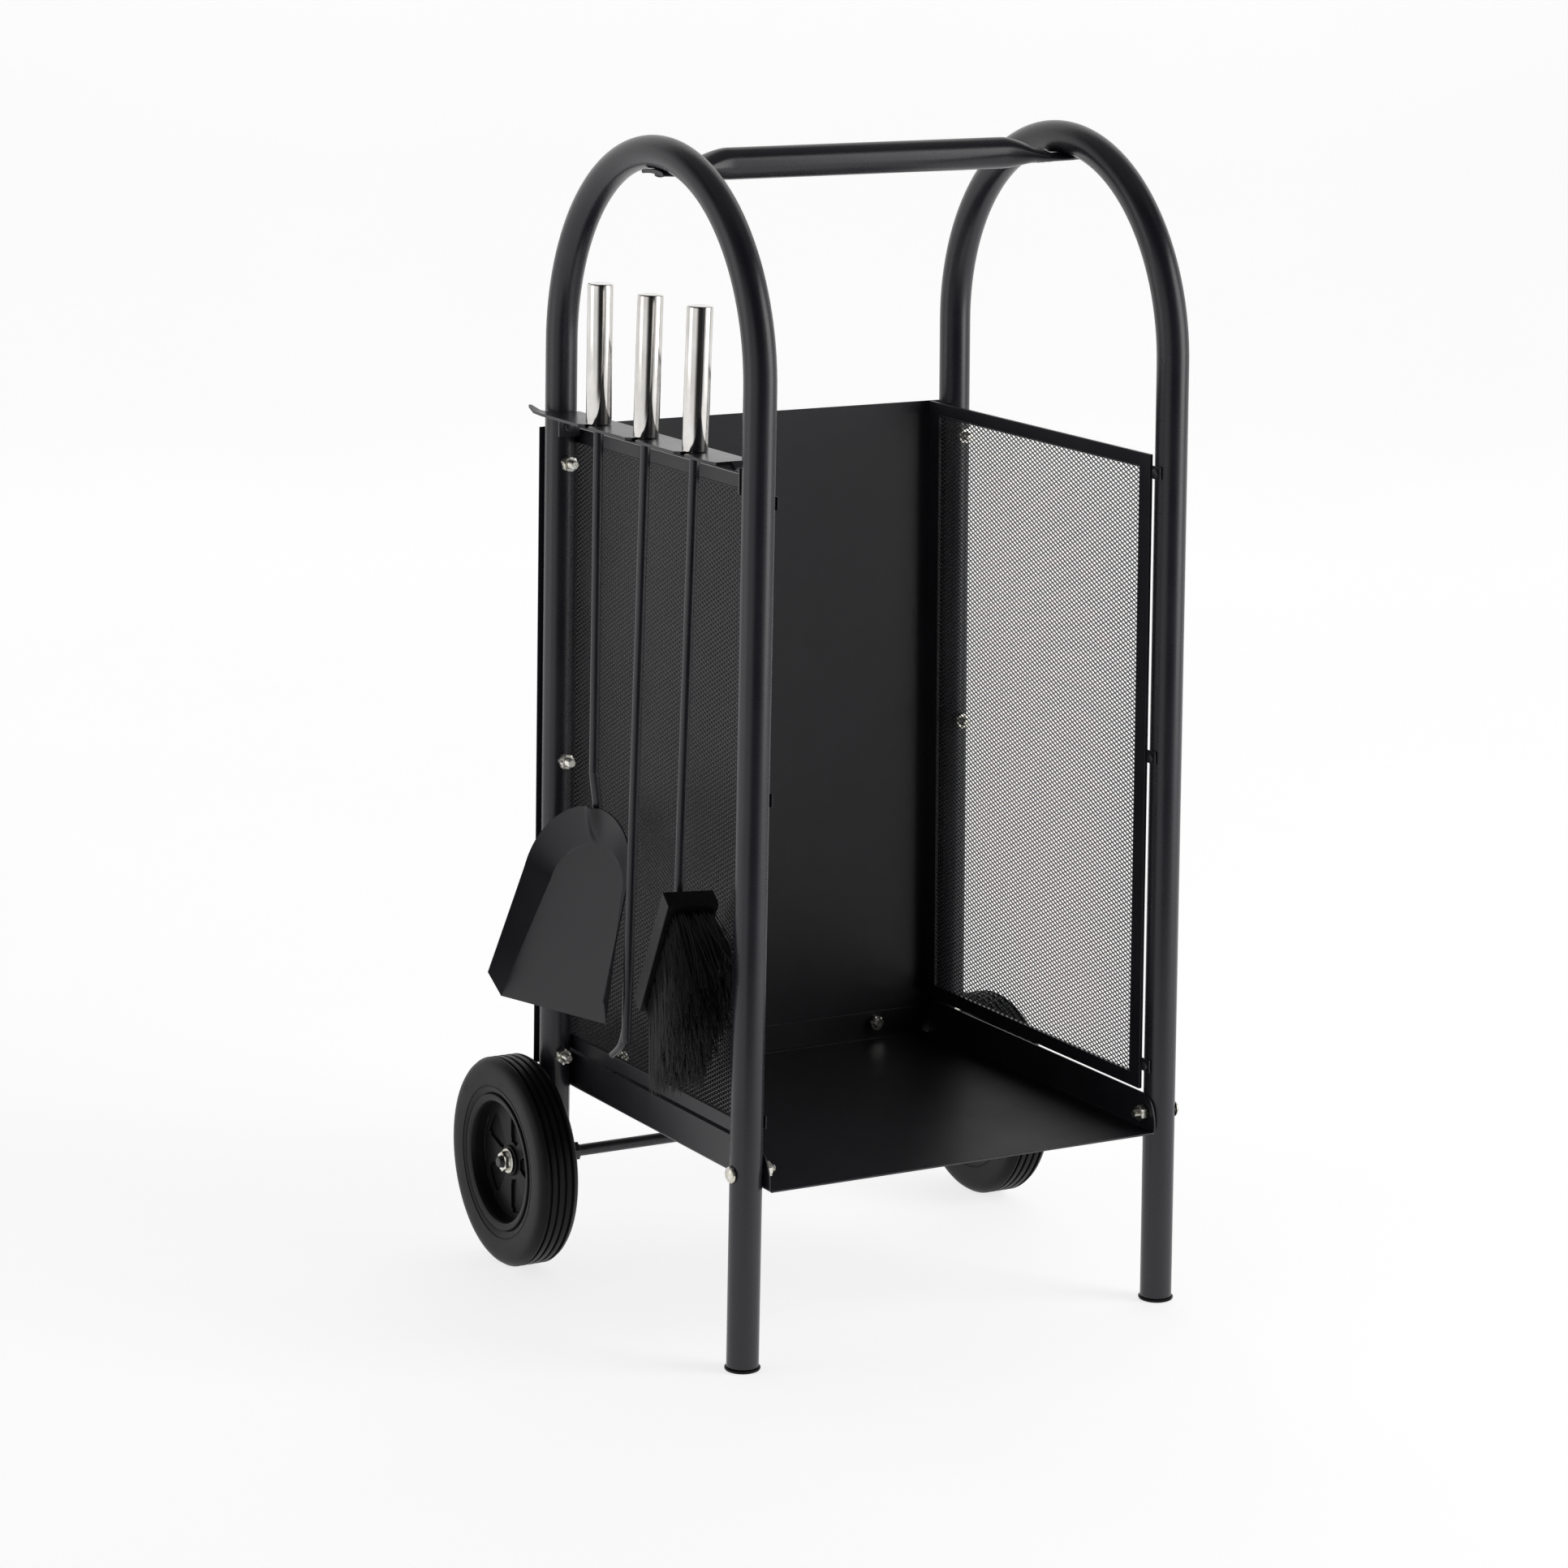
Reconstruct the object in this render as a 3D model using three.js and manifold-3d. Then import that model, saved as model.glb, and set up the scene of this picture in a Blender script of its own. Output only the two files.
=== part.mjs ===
// Firewood log rack: two bent tube hoops on two wheels and two feet, with a shelf, a back panel,
// two mesh sides, a carrying bar and three hanging fireside tools.
// Millimetres, +Z up. X is the width (left is minus), Y the depth (front is minus), the floor is Z = 0.
import * as THREE from "three";
import { mergeVertices } from "three/addons/utils/BufferGeometryUtils.js";
import { ConvexGeometry } from "three/addons/geometries/ConvexGeometry.js";
import Module from "manifold-3d";

const wasm = await Module();
wasm.setup();

// Driving dimensions
const rackHeight = 810;
const overWheels = 420;
const tubeRadius = 11;
const tubeWall = 1.2;
const legReach = 141.5; // from the middle of a hoop to each of its legs, and the radius of its bend
const hoopReach = 161; // from the middle of the rack to each hoop, at splayLevel
const splayLevel = 400;
const splay = Math.atan(4 / 400); // the hoops stand a little wider at the floor
const sheet = 1; // thickness of the pressed sheets
const gap = 0.3; // left between pieces that touch

// Side and back panels, shelf
const panelTop = 597;
const sideBottom = 153;
const hemDepth = 2.4; // thickness of the folded border of a mesh side
const borderFront = 12;
const borderLevel = 9;
const backHalfWidth = 166;
const backBottom = 124;
const shelfFloor = 125; // underside of the shelf
const shelfFront = -154;
const shelfHalfWidth = 152.2;
const flangeHeight = 25.5;
const rearFlangeHeight = 20;
const rearFlangeHalfWidth = 148;

// Wheels and axle
const wheelRadius = 75;
const tyreWidth = 30;
const rimRadius = 49;
const axleRadius = 4.2;

// Fasteners
const boltRadius = 3;
const backBoltLevels = { upper: 574, middle: 364, lower: 150.5 };
const sideScrewLevels = { upper: 585, middle: 389, lower: 171 };
const shelfBoltLevel = 137;
const shelfRearBoltX = 106;

// Tools
const stripTop = 610;
const stripOuter = -180;
const stripInner = -151;
const stripThickness = 2;
const toolX = -168;
const toolPitch = 69;
const toolMiddleY = -2.4;
const rodRadius = 3.4;
const gripRadius = 8.75;
const gripLength = 95;

const bendLevel = rackHeight - tubeRadius - legReach; // where the straight legs meet the bend
const legBack = legReach + tubeRadius; // rearmost surface of the rear legs
const wheelX = overWheels / 2 - tyreWidth / 2;

const paint = {
  frame: { color: 0x2b2b2e, roughness: 0.5, metalness: 0.3 },
  sheet: { color: 0x1c1c1f, roughness: 0.55, metalness: 0.3 },
  mesh: { color: 0x202022, roughness: 0.5, metalness: 0.4 },
  zinc: { color: 0xc9c6be, roughness: 0.3, metalness: 0.9 },
  blackScrew: { color: 0x18181a, roughness: 0.45, metalness: 0.6 },
  steel: { color: 0xc8c6c2, roughness: 0.28, metalness: 1 },
  rubber: { color: 0x161617, roughness: 0.75, metalness: 0 },
  plastic: { color: 0x1d1d1f, roughness: 0.5, metalness: 0 },
  bristle: { color: 0x0c0c0c, roughness: 0.8, metalness: 0 },
};

// ---------- helpers ----------

// A closed geometry as a solid that can be joined and cut.
function toSolid(geometry) {
  const bare = geometry.clone();
  bare.deleteAttribute("normal");
  bare.deleteAttribute("uv");
  const merged = mergeVertices(bare, 1e-3);
  return new wasm.Manifold(
    new wasm.Mesh({
      numProp: 3,
      vertProperties: merged.attributes.position.array,
      triVerts: new Uint32Array(merged.index.array),
    }),
  );
}

function toGeometry(solid) {
  const mesh = solid.getMesh();
  const geometry = new THREE.BufferGeometry();
  geometry.setAttribute("position", new THREE.BufferAttribute(mesh.vertProperties, 3));
  geometry.setIndex(new THREE.BufferAttribute(mesh.triVerts, 1));
  geometry.computeVertexNormals();
  return geometry;
}

function join(...geometries) {
  return toGeometry(geometries.map(toSolid).reduce((whole, piece) => whole.add(piece)));
}

function cut(geometry, ...tools) {
  return toGeometry(tools.map(toSolid).reduce((whole, tool) => whole.subtract(tool), toSolid(geometry)));
}

function block(low, high) {
  const size = new THREE.Vector3().fromArray(high).sub(new THREE.Vector3().fromArray(low));
  const middle = new THREE.Vector3().fromArray(high).add(new THREE.Vector3().fromArray(low)).divideScalar(2);
  return new THREE.BoxGeometry(size.x, size.y, size.z).translate(middle.x, middle.y, middle.z);
}

// Turns a geometry whose axis is Z so that its axis is X or Y, with +Z going to the plus side.
function along(axis, geometry) {
  if (axis === "x") geometry.rotateY(Math.PI / 2);
  if (axis === "y") geometry.rotateX(-Math.PI / 2);
  return geometry;
}

// A solid of revolution about Z; the profile is a list of [radius, height] pairs.
function turned(profile, sides) {
  const points = profile.map(([radius, height]) => new THREE.Vector2(radius, height));
  return new THREE.LatheGeometry(points, sides).rotateX(Math.PI / 2);
}

// A round bar or hole on an axis through `at`, from `from` to `to` along that axis.
function bar(axis, radius, from, to, at, sides = 16) {
  const geometry = turned([[0, from], [radius, from], [radius, to], [0, to]], sides);
  return along(axis, geometry).translate(...at);
}

function piece(name, geometry, finish) {
  const mesh = new THREE.Mesh(geometry, new THREE.MeshStandardMaterial(finish));
  mesh.name = name;
  return mesh;
}

// ---------- fasteners ----------

const domeHeight = 3.2;
const domeRadius = 6;
const domeSteps = 4;
const nutHeight = 5;
const boltEnd = 6.5; // bare thread past the nut
const nutRadius = 5.8;

// A domed bolt along +Z: its head sits below z = 0 and its shank runs up to `length`.
function domedBolt(length, radius = boltRadius, headRadius = domeRadius, headHeight = domeHeight) {
  const profile = [];
  for (let step = 0; step <= domeSteps; step++) {
    const angle = (step / domeSteps) * (Math.PI / 2);
    profile.push([headRadius * Math.sin(angle), -headHeight * Math.cos(angle)]);
  }
  profile.push([radius, 0], [radius, length], [0, length]);
  return turned(profile, 12);
}

// A hexagon nut on +Z with a clearance bore, its base at z = 0.
function hexNut(radius = nutRadius, height = nutHeight, bore = boltRadius + gap) {
  const outline = new THREE.Shape();
  for (let corner = 0; corner < 6; corner++) {
    const angle = (corner * Math.PI) / 3;
    const point = [radius * Math.cos(angle), radius * Math.sin(angle)];
    if (corner === 0) outline.moveTo(...point);
    else outline.lineTo(...point);
  }
  outline.holes.push(new THREE.Path().absarc(0, 0, bore, 0, Math.PI * 2, true));
  return new THREE.ExtrudeGeometry(outline, { depth: height, bevelEnabled: false, curveSegments: 6 });
}

// ---------- hoops ----------

const footGap = 2.8; // the tube ends above the rim of its plastic cap
const rearLegEnd = 60;
const bendSteps = 18;
const hoopSteps = bendSteps + 2;

// Up the front leg in one step, over the bend in equal steps, down the rear leg in one step.
class HoopPath extends THREE.Curve {
  getPoint(t, target = new THREE.Vector3()) {
    const step = t * hoopSteps;
    if (step <= 1) return target.set(0, -legReach, THREE.MathUtils.lerp(footGap, bendLevel, step));
    if (step >= hoopSteps - 1) {
      return target.set(0, legReach, THREE.MathUtils.lerp(bendLevel, rearLegEnd, step - hoopSteps + 1));
    }
    const angle = Math.PI * (1 - (step - 1) / bendSteps);
    return target.set(0, legReach * Math.cos(angle), bendLevel + legReach * Math.sin(angle));
  }

  getPointAt(u, target) {
    return this.getPoint(u, target);
  }

  getTangentAt(u, target = new THREE.Vector3()) {
    const turn = THREE.MathUtils.clamp((u * hoopSteps - 1) / bendSteps, 0, 1);
    const angle = Math.PI * (1 - turn);
    return target.set(0, Math.sin(angle), -Math.cos(angle));
  }
}

function ring(outer, inner) {
  const shape = new THREE.Shape().absarc(0, 0, outer, 0, Math.PI * 2, false);
  shape.holes.push(new THREE.Path().absarc(0, 0, inner, 0, Math.PI * 2, true));
  return shape;
}

// Built for the right side.
function hoopTube() {
  const tube = new THREE.ExtrudeGeometry(ring(tubeRadius, tubeRadius - tubeWall), {
    steps: hoopSteps,
    extrudePath: new HoopPath(),
    curveSegments: 9,
  });
  const holes = Object.values(backBoltLevels).map((level) =>
    bar("y", boltRadius + gap, legReach - 20, legReach + 20, [0, 0, level], 8),
  );
  for (const level of Object.values(sideScrewLevels)) {
    holes.push(bar("x", sideScrewRadius + gap, -16, -4, [0, -legReach, level], 6));
  }
  holes.push(bar("x", boltRadius + 2 * gap, -20, 20, [0, -legReach, shelfBoltLevel], 8));
  holes.push(bar("x", axleRadius + 2 * gap, -20, 20, [0, legReach, wheelRadius], 10));
  holes.push(bar("z", topScrewRadius + 3 * gap, rackHeight - 30, rackHeight - 12, [0, 0, 0], 6));
  return cut(tube, ...holes);
}

// Plastic cap: a rim under the leg and a plug inside it.
function footCap() {
  const rimHeight = 2.5;
  const rimSize = 12.2;
  const plugSize = tubeRadius - tubeWall - 0.6;
  const plugTop = 20;
  return turned([[0, 0], [rimSize - 1, 0], [rimSize, 1], [rimSize, rimHeight], [plugSize, rimHeight],
    [plugSize, plugTop], [0, plugTop]], 20);
}

// ---------- carrying bar ----------

const barRadius = 10.75;
const barLevel = 789.6;
const barHalfLength = 163;
const roundHalfLength = 106; // the middle stretch that stays round
const flatStart = 152;
const tongueHalfWidth = 16.5;
const tongueHalfHeight = 1.4;
const tongueDrop = 3.6;
const topScrewRadius = 2;

// A tube whose ends are pressed flat into tongues, which sit under the tops of the hoops.
function carryingBar() {
  const tube = new THREE.ExtrudeGeometry(ring(1, 1 - tubeWall / barRadius), {
    depth: 2 * barHalfLength,
    steps: 24,
    bevelEnabled: false,
    curveSegments: 8,
  }).translate(0, 0, -barHalfLength);
  const spot = tube.attributes.position;
  for (let i = 0; i < spot.count; i++) {
    const x = spot.getZ(i);
    const flat = THREE.MathUtils.smoothstep(Math.abs(x), roundHalfLength, flatStart);
    const inside = Math.hypot(spot.getX(i), spot.getY(i)) < 1 - 1e-3;
    const slit = inside ? THREE.MathUtils.lerp(1, 0.25, flat) : 1;
    const y = spot.getX(i) * THREE.MathUtils.lerp(barRadius, tongueHalfWidth, flat);
    const z = spot.getY(i) * slit * THREE.MathUtils.lerp(barRadius, tongueHalfHeight, flat);
    spot.setXYZ(i, x, y, z + barLevel - tongueDrop * flat);
  }
  const bores = [-1, 1].map((side) =>
    bar("z", topScrewRadius + gap, barLevel - 12, barLevel + 6, [side * hoopTopX, 0, 0], 8),
  );
  return cut(tube, ...bores);
}

const hoopTopX = hoopReach - (rackHeight - tubeRadius - splayLevel) * Math.tan(splay);

// ---------- panels and shelf ----------

const sideScrewRadius = 1.5;
const hemLip = 0.5;
const grooveDepth = 4;
const tabHeight = 9;
const rearFlangeReach = 22;
const sideOuterFace = tubeRadius + gap; // from the hoop's own plane to the outer face of a mesh side
const sideFrontEdge = -legReach + 5;
const rearFlangeBottom = 141;

// The folded border of a mesh side, with the flange that is clamped behind the rear leg
// and three tabs that are screwed to the front leg. Built for the right side.
function sideBorder() {
  const outer = -sideOuterFace;
  const inner = outer - hemDepth;
  const rearFace = legBack + gap;
  const border = block([inner, sideFrontEdge, sideBottom], [outer, rearFace + sheet, panelTop]);
  const windowLow = [sideFrontEdge + borderFront, sideBottom + borderLevel];
  const windowHigh = [legReach - 1, panelTop - borderLevel];
  const window = block([inner - 1, windowLow[0], windowLow[1]], [outer + 1, windowHigh[0], windowHigh[1]]);
  const groove = block(
    [inner + hemLip, windowLow[0] - grooveDepth, windowLow[1] - grooveDepth],
    [outer - hemLip, windowHigh[0] + grooveDepth, windowHigh[1] + grooveDepth],
  );
  const flangeEnd = [outer + rearFlangeReach, rearFace + sheet, panelTop];
  const flange = block([outer - 1, rearFace, rearFlangeBottom], flangeEnd);
  const tabs = Object.values(sideScrewLevels).map((level) =>
    block([outer - sheet, -legReach - 5, level - tabHeight / 2], [outer, sideFrontEdge + 2, level + tabHeight / 2]),
  );
  const bores = Object.values(sideScrewLevels).map((level) =>
    bar("x", sideScrewRadius + gap, inner - 2, outer + 2, [0, -legReach, level], 8),
  );
  for (const level of Object.values(backBoltLevels)) {
    bores.push(bar("y", boltRadius + gap, rearFace - 2, rearFace + 4, [0, 0, level], 8));
  }
  return cut(join(border, flange, ...tabs), window, groove, ...bores);
}

// The mesh itself as a plain thin sheet held in the groove of the border.
function sideMesh() {
  const middle = -sideOuterFace - hemDepth / 2;
  const hold = grooveDepth - 2 * gap;
  const half = hemDepth / 2 - hemLip - gap;
  return block(
    [middle - half, sideFrontEdge + borderFront - hold, sideBottom + borderLevel - hold],
    [middle + half, legReach - 1 + hold, panelTop - borderLevel + hold],
  );
}

function backPanel() {
  const front = legBack + 2 * gap + sheet;
  const panel = block([-backHalfWidth, front, backBottom], [backHalfWidth, front + sheet, panelTop]);
  const bores = [];
  for (const side of [-1, 1]) {
    for (const level of Object.values(backBoltLevels)) {
      const x = side * hoopXAt(level);
      bores.push(bar("y", boltRadius + gap, front - 2, front + 4, [x, 0, level], 8));
    }
    bores.push(bar("y", boltRadius + gap, front - 2, front + 4, [side * shelfRearBoltX, 0, shelfBoltLevel], 8));
  }
  return cut(panel, ...bores);
}

function hoopXAt(level) {
  return hoopReach - (level - splayLevel) * Math.tan(splay);
}

// A side flange of the shelf in the YZ plane: its top front corner is one long round.
function shelfSideFlange() {
  const top = shelfFloor + flangeHeight;
  const roundDepth = 14;
  const rear = legBack + gap - 4;
  const outline = new THREE.Shape();
  outline.moveTo(shelfFront, shelfFloor);
  outline.lineTo(rear, shelfFloor);
  outline.lineTo(rear, top);
  outline.lineTo(shelfFront + roundDepth, top);
  outline.absellipse(shelfFront + roundDepth, shelfFloor + 3, roundDepth, flangeHeight - 3, Math.PI / 2, Math.PI, false);
  outline.closePath();
  const flange = new THREE.ExtrudeGeometry(outline, { depth: sheet, bevelEnabled: false, curveSegments: 8 });
  return flange.rotateX(Math.PI / 2).rotateZ(Math.PI / 2);
}

function shelf() {
  const rear = legBack + gap + sheet;
  const floorEnd = [shelfHalfWidth, rear - 4, shelfFloor + sheet];
  const floor = block([-shelfHalfWidth, shelfFront, shelfFloor], floorEnd);
  const floorRear = block(
    [-rearFlangeHalfWidth, rear - 6, shelfFloor],
    [rearFlangeHalfWidth, rear, shelfFloor + sheet],
  );
  const rearFlange = block(
    [-rearFlangeHalfWidth, rear - sheet, shelfFloor],
    [rearFlangeHalfWidth, rear, shelfFloor + rearFlangeHeight],
  );
  const left = shelfSideFlange().translate(-shelfHalfWidth, 0, 0);
  const right = shelfSideFlange().translate(shelfHalfWidth - sheet, 0, 0);
  const bores = [
    bar("x", boltRadius + gap, -shelfHalfWidth - 2, shelfHalfWidth + 2, [0, -legReach, shelfBoltLevel], 8),
  ];
  for (const side of [-1, 1]) {
    bores.push(bar("y", boltRadius + gap, rear - 4, rear + 4, [side * shelfRearBoltX, 0, shelfBoltLevel], 8));
  }
  return cut(join(floor, floorRear, rearFlange, left, right), ...bores);
}

// ---------- wheels and axle ----------

const wheelSides = 40;
const windowCount = 5;
const windowHalfAngle = THREE.MathUtils.degToRad(17);
const webThickness = 1; // left behind each of the disc's five pockets
const discFace = 3; // outer face of the wheel's disc, measured from the wheel's middle plane
const bossRadius = 11;
const bossOut = 5;

// Turned about Z, with +Z the outer side of the wheel.
function tyre() {
  const half = tyreWidth / 2;
  const grooveDrop = 1.2;
  const profile = [[rimRadius + gap, -half + 2], [58, -half + 0.2], [69, -half], [73.4, -half + 2.6]];
  for (const level of [-7, 0, 7]) {
    profile.push([wheelRadius, level - 1.4], [wheelRadius - grooveDrop, level], [wheelRadius, level + 1.4]);
  }
  profile.push([73.4, half - 2.6], [69, half], [58, half - 0.2], [rimRadius + gap, half - 2]);
  profile.push(profile[0]);
  return turned(profile, wheelSides);
}

// Moulded wheel centre: rim, recessed disc with five pockets, and a long boss.
function wheelCentre() {
  const half = tyreWidth / 2;
  const bore = axleRadius + gap;
  const bossIn = wheelX - (hoopXAt(wheelRadius) + tubeRadius) - 2 * gap;
  const profile = [
    [bore, -bossIn], [bossRadius, -bossIn], [bossRadius, 0], [44, 0], [44, -half + 2], [rimRadius, -half + 2],
    [rimRadius, half - 0.6], [43.5, half - 1.6], [42.5, discFace], [bossRadius, discFace], [bossRadius, bossOut],
    [bore, bossOut], [bore, -bossIn],
  ];
  const windows = [];
  for (let n = 0; n < windowCount; n++) {
    const outline = new THREE.Shape();
    outline.absarc(0, 0, 38, -windowHalfAngle, windowHalfAngle, false);
    outline.absarc(0, 0, 14, windowHalfAngle, -windowHalfAngle, true);
    outline.closePath();
    const window = new THREE.ExtrudeGeometry(outline, { depth: 6, bevelEnabled: false, curveSegments: 4 });
    windows.push(window.translate(0, 0, webThickness).rotateZ((n / windowCount) * Math.PI * 2 - Math.PI / 2));
  }
  return cut(turned(profile, wheelSides), ...windows);
}

// Flanged lock nut on the axle's end, with the washer face at z = 0.
function axleNut() {
  const solid = { depth: 1.4, bevelEnabled: false, curveSegments: 9 };
  const flange = new THREE.ExtrudeGeometry(ring(9, axleRadius + gap), solid);
  return join(flange, hexNut(7.4, 5.4, axleRadius + gap));
}

// The nut that locks the axle against the inner side of a leg.
function axleCollar() {
  const solid = { depth: 2, bevelEnabled: false, curveSegments: 9 };
  const base = new THREE.ExtrudeGeometry(ring(8.2, axleRadius + gap), solid);
  return join(base, hexNut(7.2, 7.5, axleRadius + gap));
}

// ---------- tool strip and tools ----------

const toolYs = [1, 0, -1].map((n) => toolMiddleY + n * toolPitch); // shovel, poker, brush
const slotHalfWidth = 4;
const stripFront = -119;
const stripRear = legReach - tubeRadius - 0.8;
const earHeight = 15;
const earHalfWidth = 8;

// Flat plate with three slots that open outwards, a joggled front tab, an ear on each leg,
// and a pointed rear tongue that passes outside the rear leg.
function toolStrip() {
  const low = stripTop - stripThickness;
  const legX = -hoopXAt(stripTop);
  const legFace = -legReach + tubeRadius + gap;
  const outline = new THREE.Shape();
  outline.moveTo(stripInner, stripRear);
  outline.lineTo(legX - tubeRadius - 1, stripRear);
  outline.lineTo(-177, 152);
  outline.lineTo(-179, 152);
  outline.lineTo(stripOuter, stripRear);
  for (const y of toolYs) {
    outline.lineTo(stripOuter, y + slotHalfWidth);
    outline.lineTo(toolX, y + slotHalfWidth);
    outline.absarc(toolX, y, slotHalfWidth, Math.PI / 2, -Math.PI / 2, true);
    outline.lineTo(stripOuter, y - slotHalfWidth);
  }
  outline.lineTo(stripOuter, stripFront);
  outline.lineTo(stripInner, stripFront);
  outline.closePath();
  const plate = new THREE.ExtrudeGeometry(outline, {
    depth: stripThickness,
    bevelEnabled: false,
    curveSegments: 8,
  }).translate(0, 0, low);
  const overlap = 0.4;
  const tab = tabProfile([[stripFront - 0.5, 0], [-123.5, -3.4], [legFace + 1, -3.4]], legX);
  const frontEar = block(
    [legX - earHalfWidth, legFace, low - 3.4 - earHeight],
    [legX + earHalfWidth, legFace + stripThickness, stripTop - 3.4 + overlap],
  );
  const rearEar = block(
    [legX - earHalfWidth, -legFace - stripThickness, low - earHeight],
    [legX + earHalfWidth, -legFace, stripTop + overlap],
  );
  const bores = [
    bar("y", 2 + gap, legFace - 3, legFace + 6, [legX, 0, stripTop - 12], 8),
    bar("y", 2 + gap, -legFace - 6, -legFace + 3, [legX, 0, stripTop - 10], 8),
  ];
  return cut(join(plate, tab, frontEar, rearEar), ...bores);
}

// A strip of sheet whose top follows [y, rise] points, centred on the leg, starting inside the plate.
function tabProfile(points, legX) {
  const inset = 0.3;
  const outline = new THREE.Shape();
  outline.moveTo(points[0][0] + 4, stripTop - inset);
  points.forEach(([y, rise]) => outline.lineTo(y, stripTop + rise - inset));
  [...points].reverse().forEach(([y, rise]) => outline.lineTo(y, stripTop + rise - stripThickness + inset));
  outline.lineTo(points[0][0] + 4, stripTop - stripThickness + inset);
  outline.closePath();
  const width = 2 * (earHalfWidth - 1);
  const tab = new THREE.ExtrudeGeometry(outline, { depth: width, bevelEnabled: false });
  return tab.rotateX(Math.PI / 2).rotateZ(Math.PI / 2).translate(legX - width / 2, 0, 0);
}

// Steel grip: a cup that is open below, standing on the strip at z = 0.
function grip() {
  const wall = 1;
  const edge = 1;
  return turned([[0, gripLength - wall - edge], [gripRadius - wall - edge, gripLength - wall - edge],
    [gripRadius - wall, gripLength - 8], [gripRadius - wall, 0], [gripRadius, 0],
    [gripRadius, gripLength - edge], [gripRadius - edge, gripLength], [0, gripLength]], 20);
}

// Shovel pan. Tray coordinates: x across, y down from the neck, z off the floor of the tray.
const panTurn = THREE.MathUtils.degToRad(72.7);
const panLean = THREE.MathUtils.degToRad(20.7);
const panCorner = new THREE.Vector3(12.6, 3.2, -269.8); // the tray's zero in the tool's frame
const panLength = 143;
const panWall = 13.2;
const panSheet = 1.2;
const rimEnd = 129.8; // the walls are cut back at the open end

// Outline of the tray at its floor (rise 0) or its rim (rise 1): a half round top and straight sides.
function panOutline(rise, shrink, level, bottom) {
  const top = THREE.MathUtils.lerp(25.9, 0.8, rise) + shrink;
  const shoulder = THREE.MathUtils.lerp(56, 51, rise);
  const upper = THREE.MathUtils.lerp(35, 50.2, rise) - shrink;
  const lower = THREE.MathUtils.lerp(51.7, 57.2, rise) - shrink;
  const points = [];
  const steps = 10;
  for (let n = 0; n <= steps; n++) {
    const angle = (n / steps) * Math.PI;
    points.push(
      new THREE.Vector3(upper * Math.cos(angle), shoulder - (shoulder - top) * Math.sin(angle), level),
    );
  }
  points.push(new THREE.Vector3(-lower, bottom, level), new THREE.Vector3(lower, bottom, level));
  return points;
}

function shovelPan() {
  const outer = new ConvexGeometry([...panOutline(0, 0, 0, panLength), ...panOutline(1, 0, panWall, rimEnd)]);
  const inner = new ConvexGeometry([
    ...panOutline(0, panSheet, panSheet, panLength + 20),
    ...panOutline(1, panSheet, panWall + 0.5, rimEnd + 24),
  ]);
  return cut(outer, inner);
}

// Directions of the tray in the tool's own frame.
function panBasis() {
  const across = new THREE.Vector3(-Math.cos(panTurn), Math.sin(panTurn), 0);
  const off = new THREE.Vector3(
    -Math.sin(panTurn) * Math.cos(panLean),
    -Math.cos(panTurn) * Math.cos(panLean),
    Math.sin(panLean),
  );
  const down = new THREE.Vector3().crossVectors(off, across);
  return { across, down, off };
}

// A straight rod from its grip to `bend`, then through the given points.
function bentRod(collarPoints, path, segments) {
  const curve = new THREE.CatmullRomCurve3(path, false, "centripetal");
  const round = new THREE.Shape().absarc(0, 0, rodRadius, 0, Math.PI * 2, false);
  const bent = new THREE.ExtrudeGeometry(round, { steps: segments, extrudePath: curve, curveSegments: 6 });
  return join(turned(collarPoints, 12), bent);
}

// The part of a rod inside its grip, with the collar that fills the grip's mouth.
function rodTop(bottom) {
  const collar = gripRadius - 1 - gap;
  return [[0, bottom], [rodRadius, bottom], [rodRadius, 1], [collar, 1], [collar, 14], [rodRadius, 14],
    [rodRadius, 40], [0, 40]];
}

// The rod's end lies against the outside of the pan's back wall.
function shovelRod() {
  const path = [
    new THREE.Vector3(0, 0, -226),
    new THREE.Vector3(0.3, 0, -244),
    new THREE.Vector3(4.0, 1, -266),
    new THREE.Vector3(7.2, 2.2, -292),
  ];
  return bentRod(rodTop(-228), path, 10);
}

// The poker's rod ends in a hook that turns back like a claw.
function pokerRod() {
  const hookTop = -408;
  const path = [
    new THREE.Vector3(0, 0, hookTop + 12),
    new THREE.Vector3(0, 0.6, hookTop),
    new THREE.Vector3(0, 6.5, hookTop - 12),
    new THREE.Vector3(0, 20, hookTop - 22),
  ];
  return bentRod(rodTop(hookTop + 10), path, 9);
}

// Brush: a board across the lower end of the rod, with bristles on its front.
const boardSize = { width: 36, thickness: 14, length: 97 };
const boardTurn = THREE.MathUtils.degToRad(-8);
const boardLean = THREE.MathUtils.degToRad(30);
const boardTop = new THREE.Vector3(-1.2, -23.5, -300); // middle of the board's upper front edge

function onBoard(geometry) {
  return geometry.rotateX(boardLean).rotateZ(boardTurn).translate(...boardTop.toArray());
}

function brushBoard() {
  const { width, thickness, length } = boardSize;
  const socket = bar("z", rodRadius + gap, -30, 30, [0, 0, -brushRodEnd + 30], 12);
  return cut(onBoard(block([-width / 2, 0, -length], [width / 2, thickness, 0])), socket);
}

const brushRodEnd = 322;

function brushRod() {
  return turned(rodTop(-brushRodEnd), 12);
}

// Bristles as one soft block that spreads forward and down.
function bristles() {
  const { width, length } = boardSize;
  const half = width / 2 - 3;
  const points = [];
  for (const side of [-half, half]) {
    points.push(new THREE.Vector3(side, -gap, -4), new THREE.Vector3(side, -gap, -length + 4));
    points.push(new THREE.Vector3(side, -6, -4), new THREE.Vector3(side, -6, -length + 4));
    points.push(new THREE.Vector3(side, -22, -110), new THREE.Vector3(side, -38, -100));
  }
  points.push(new THREE.Vector3(-half - 2, -50, -22), new THREE.Vector3(0, -50, -26));
  return onBoard(new ConvexGeometry(points));
}

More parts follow.
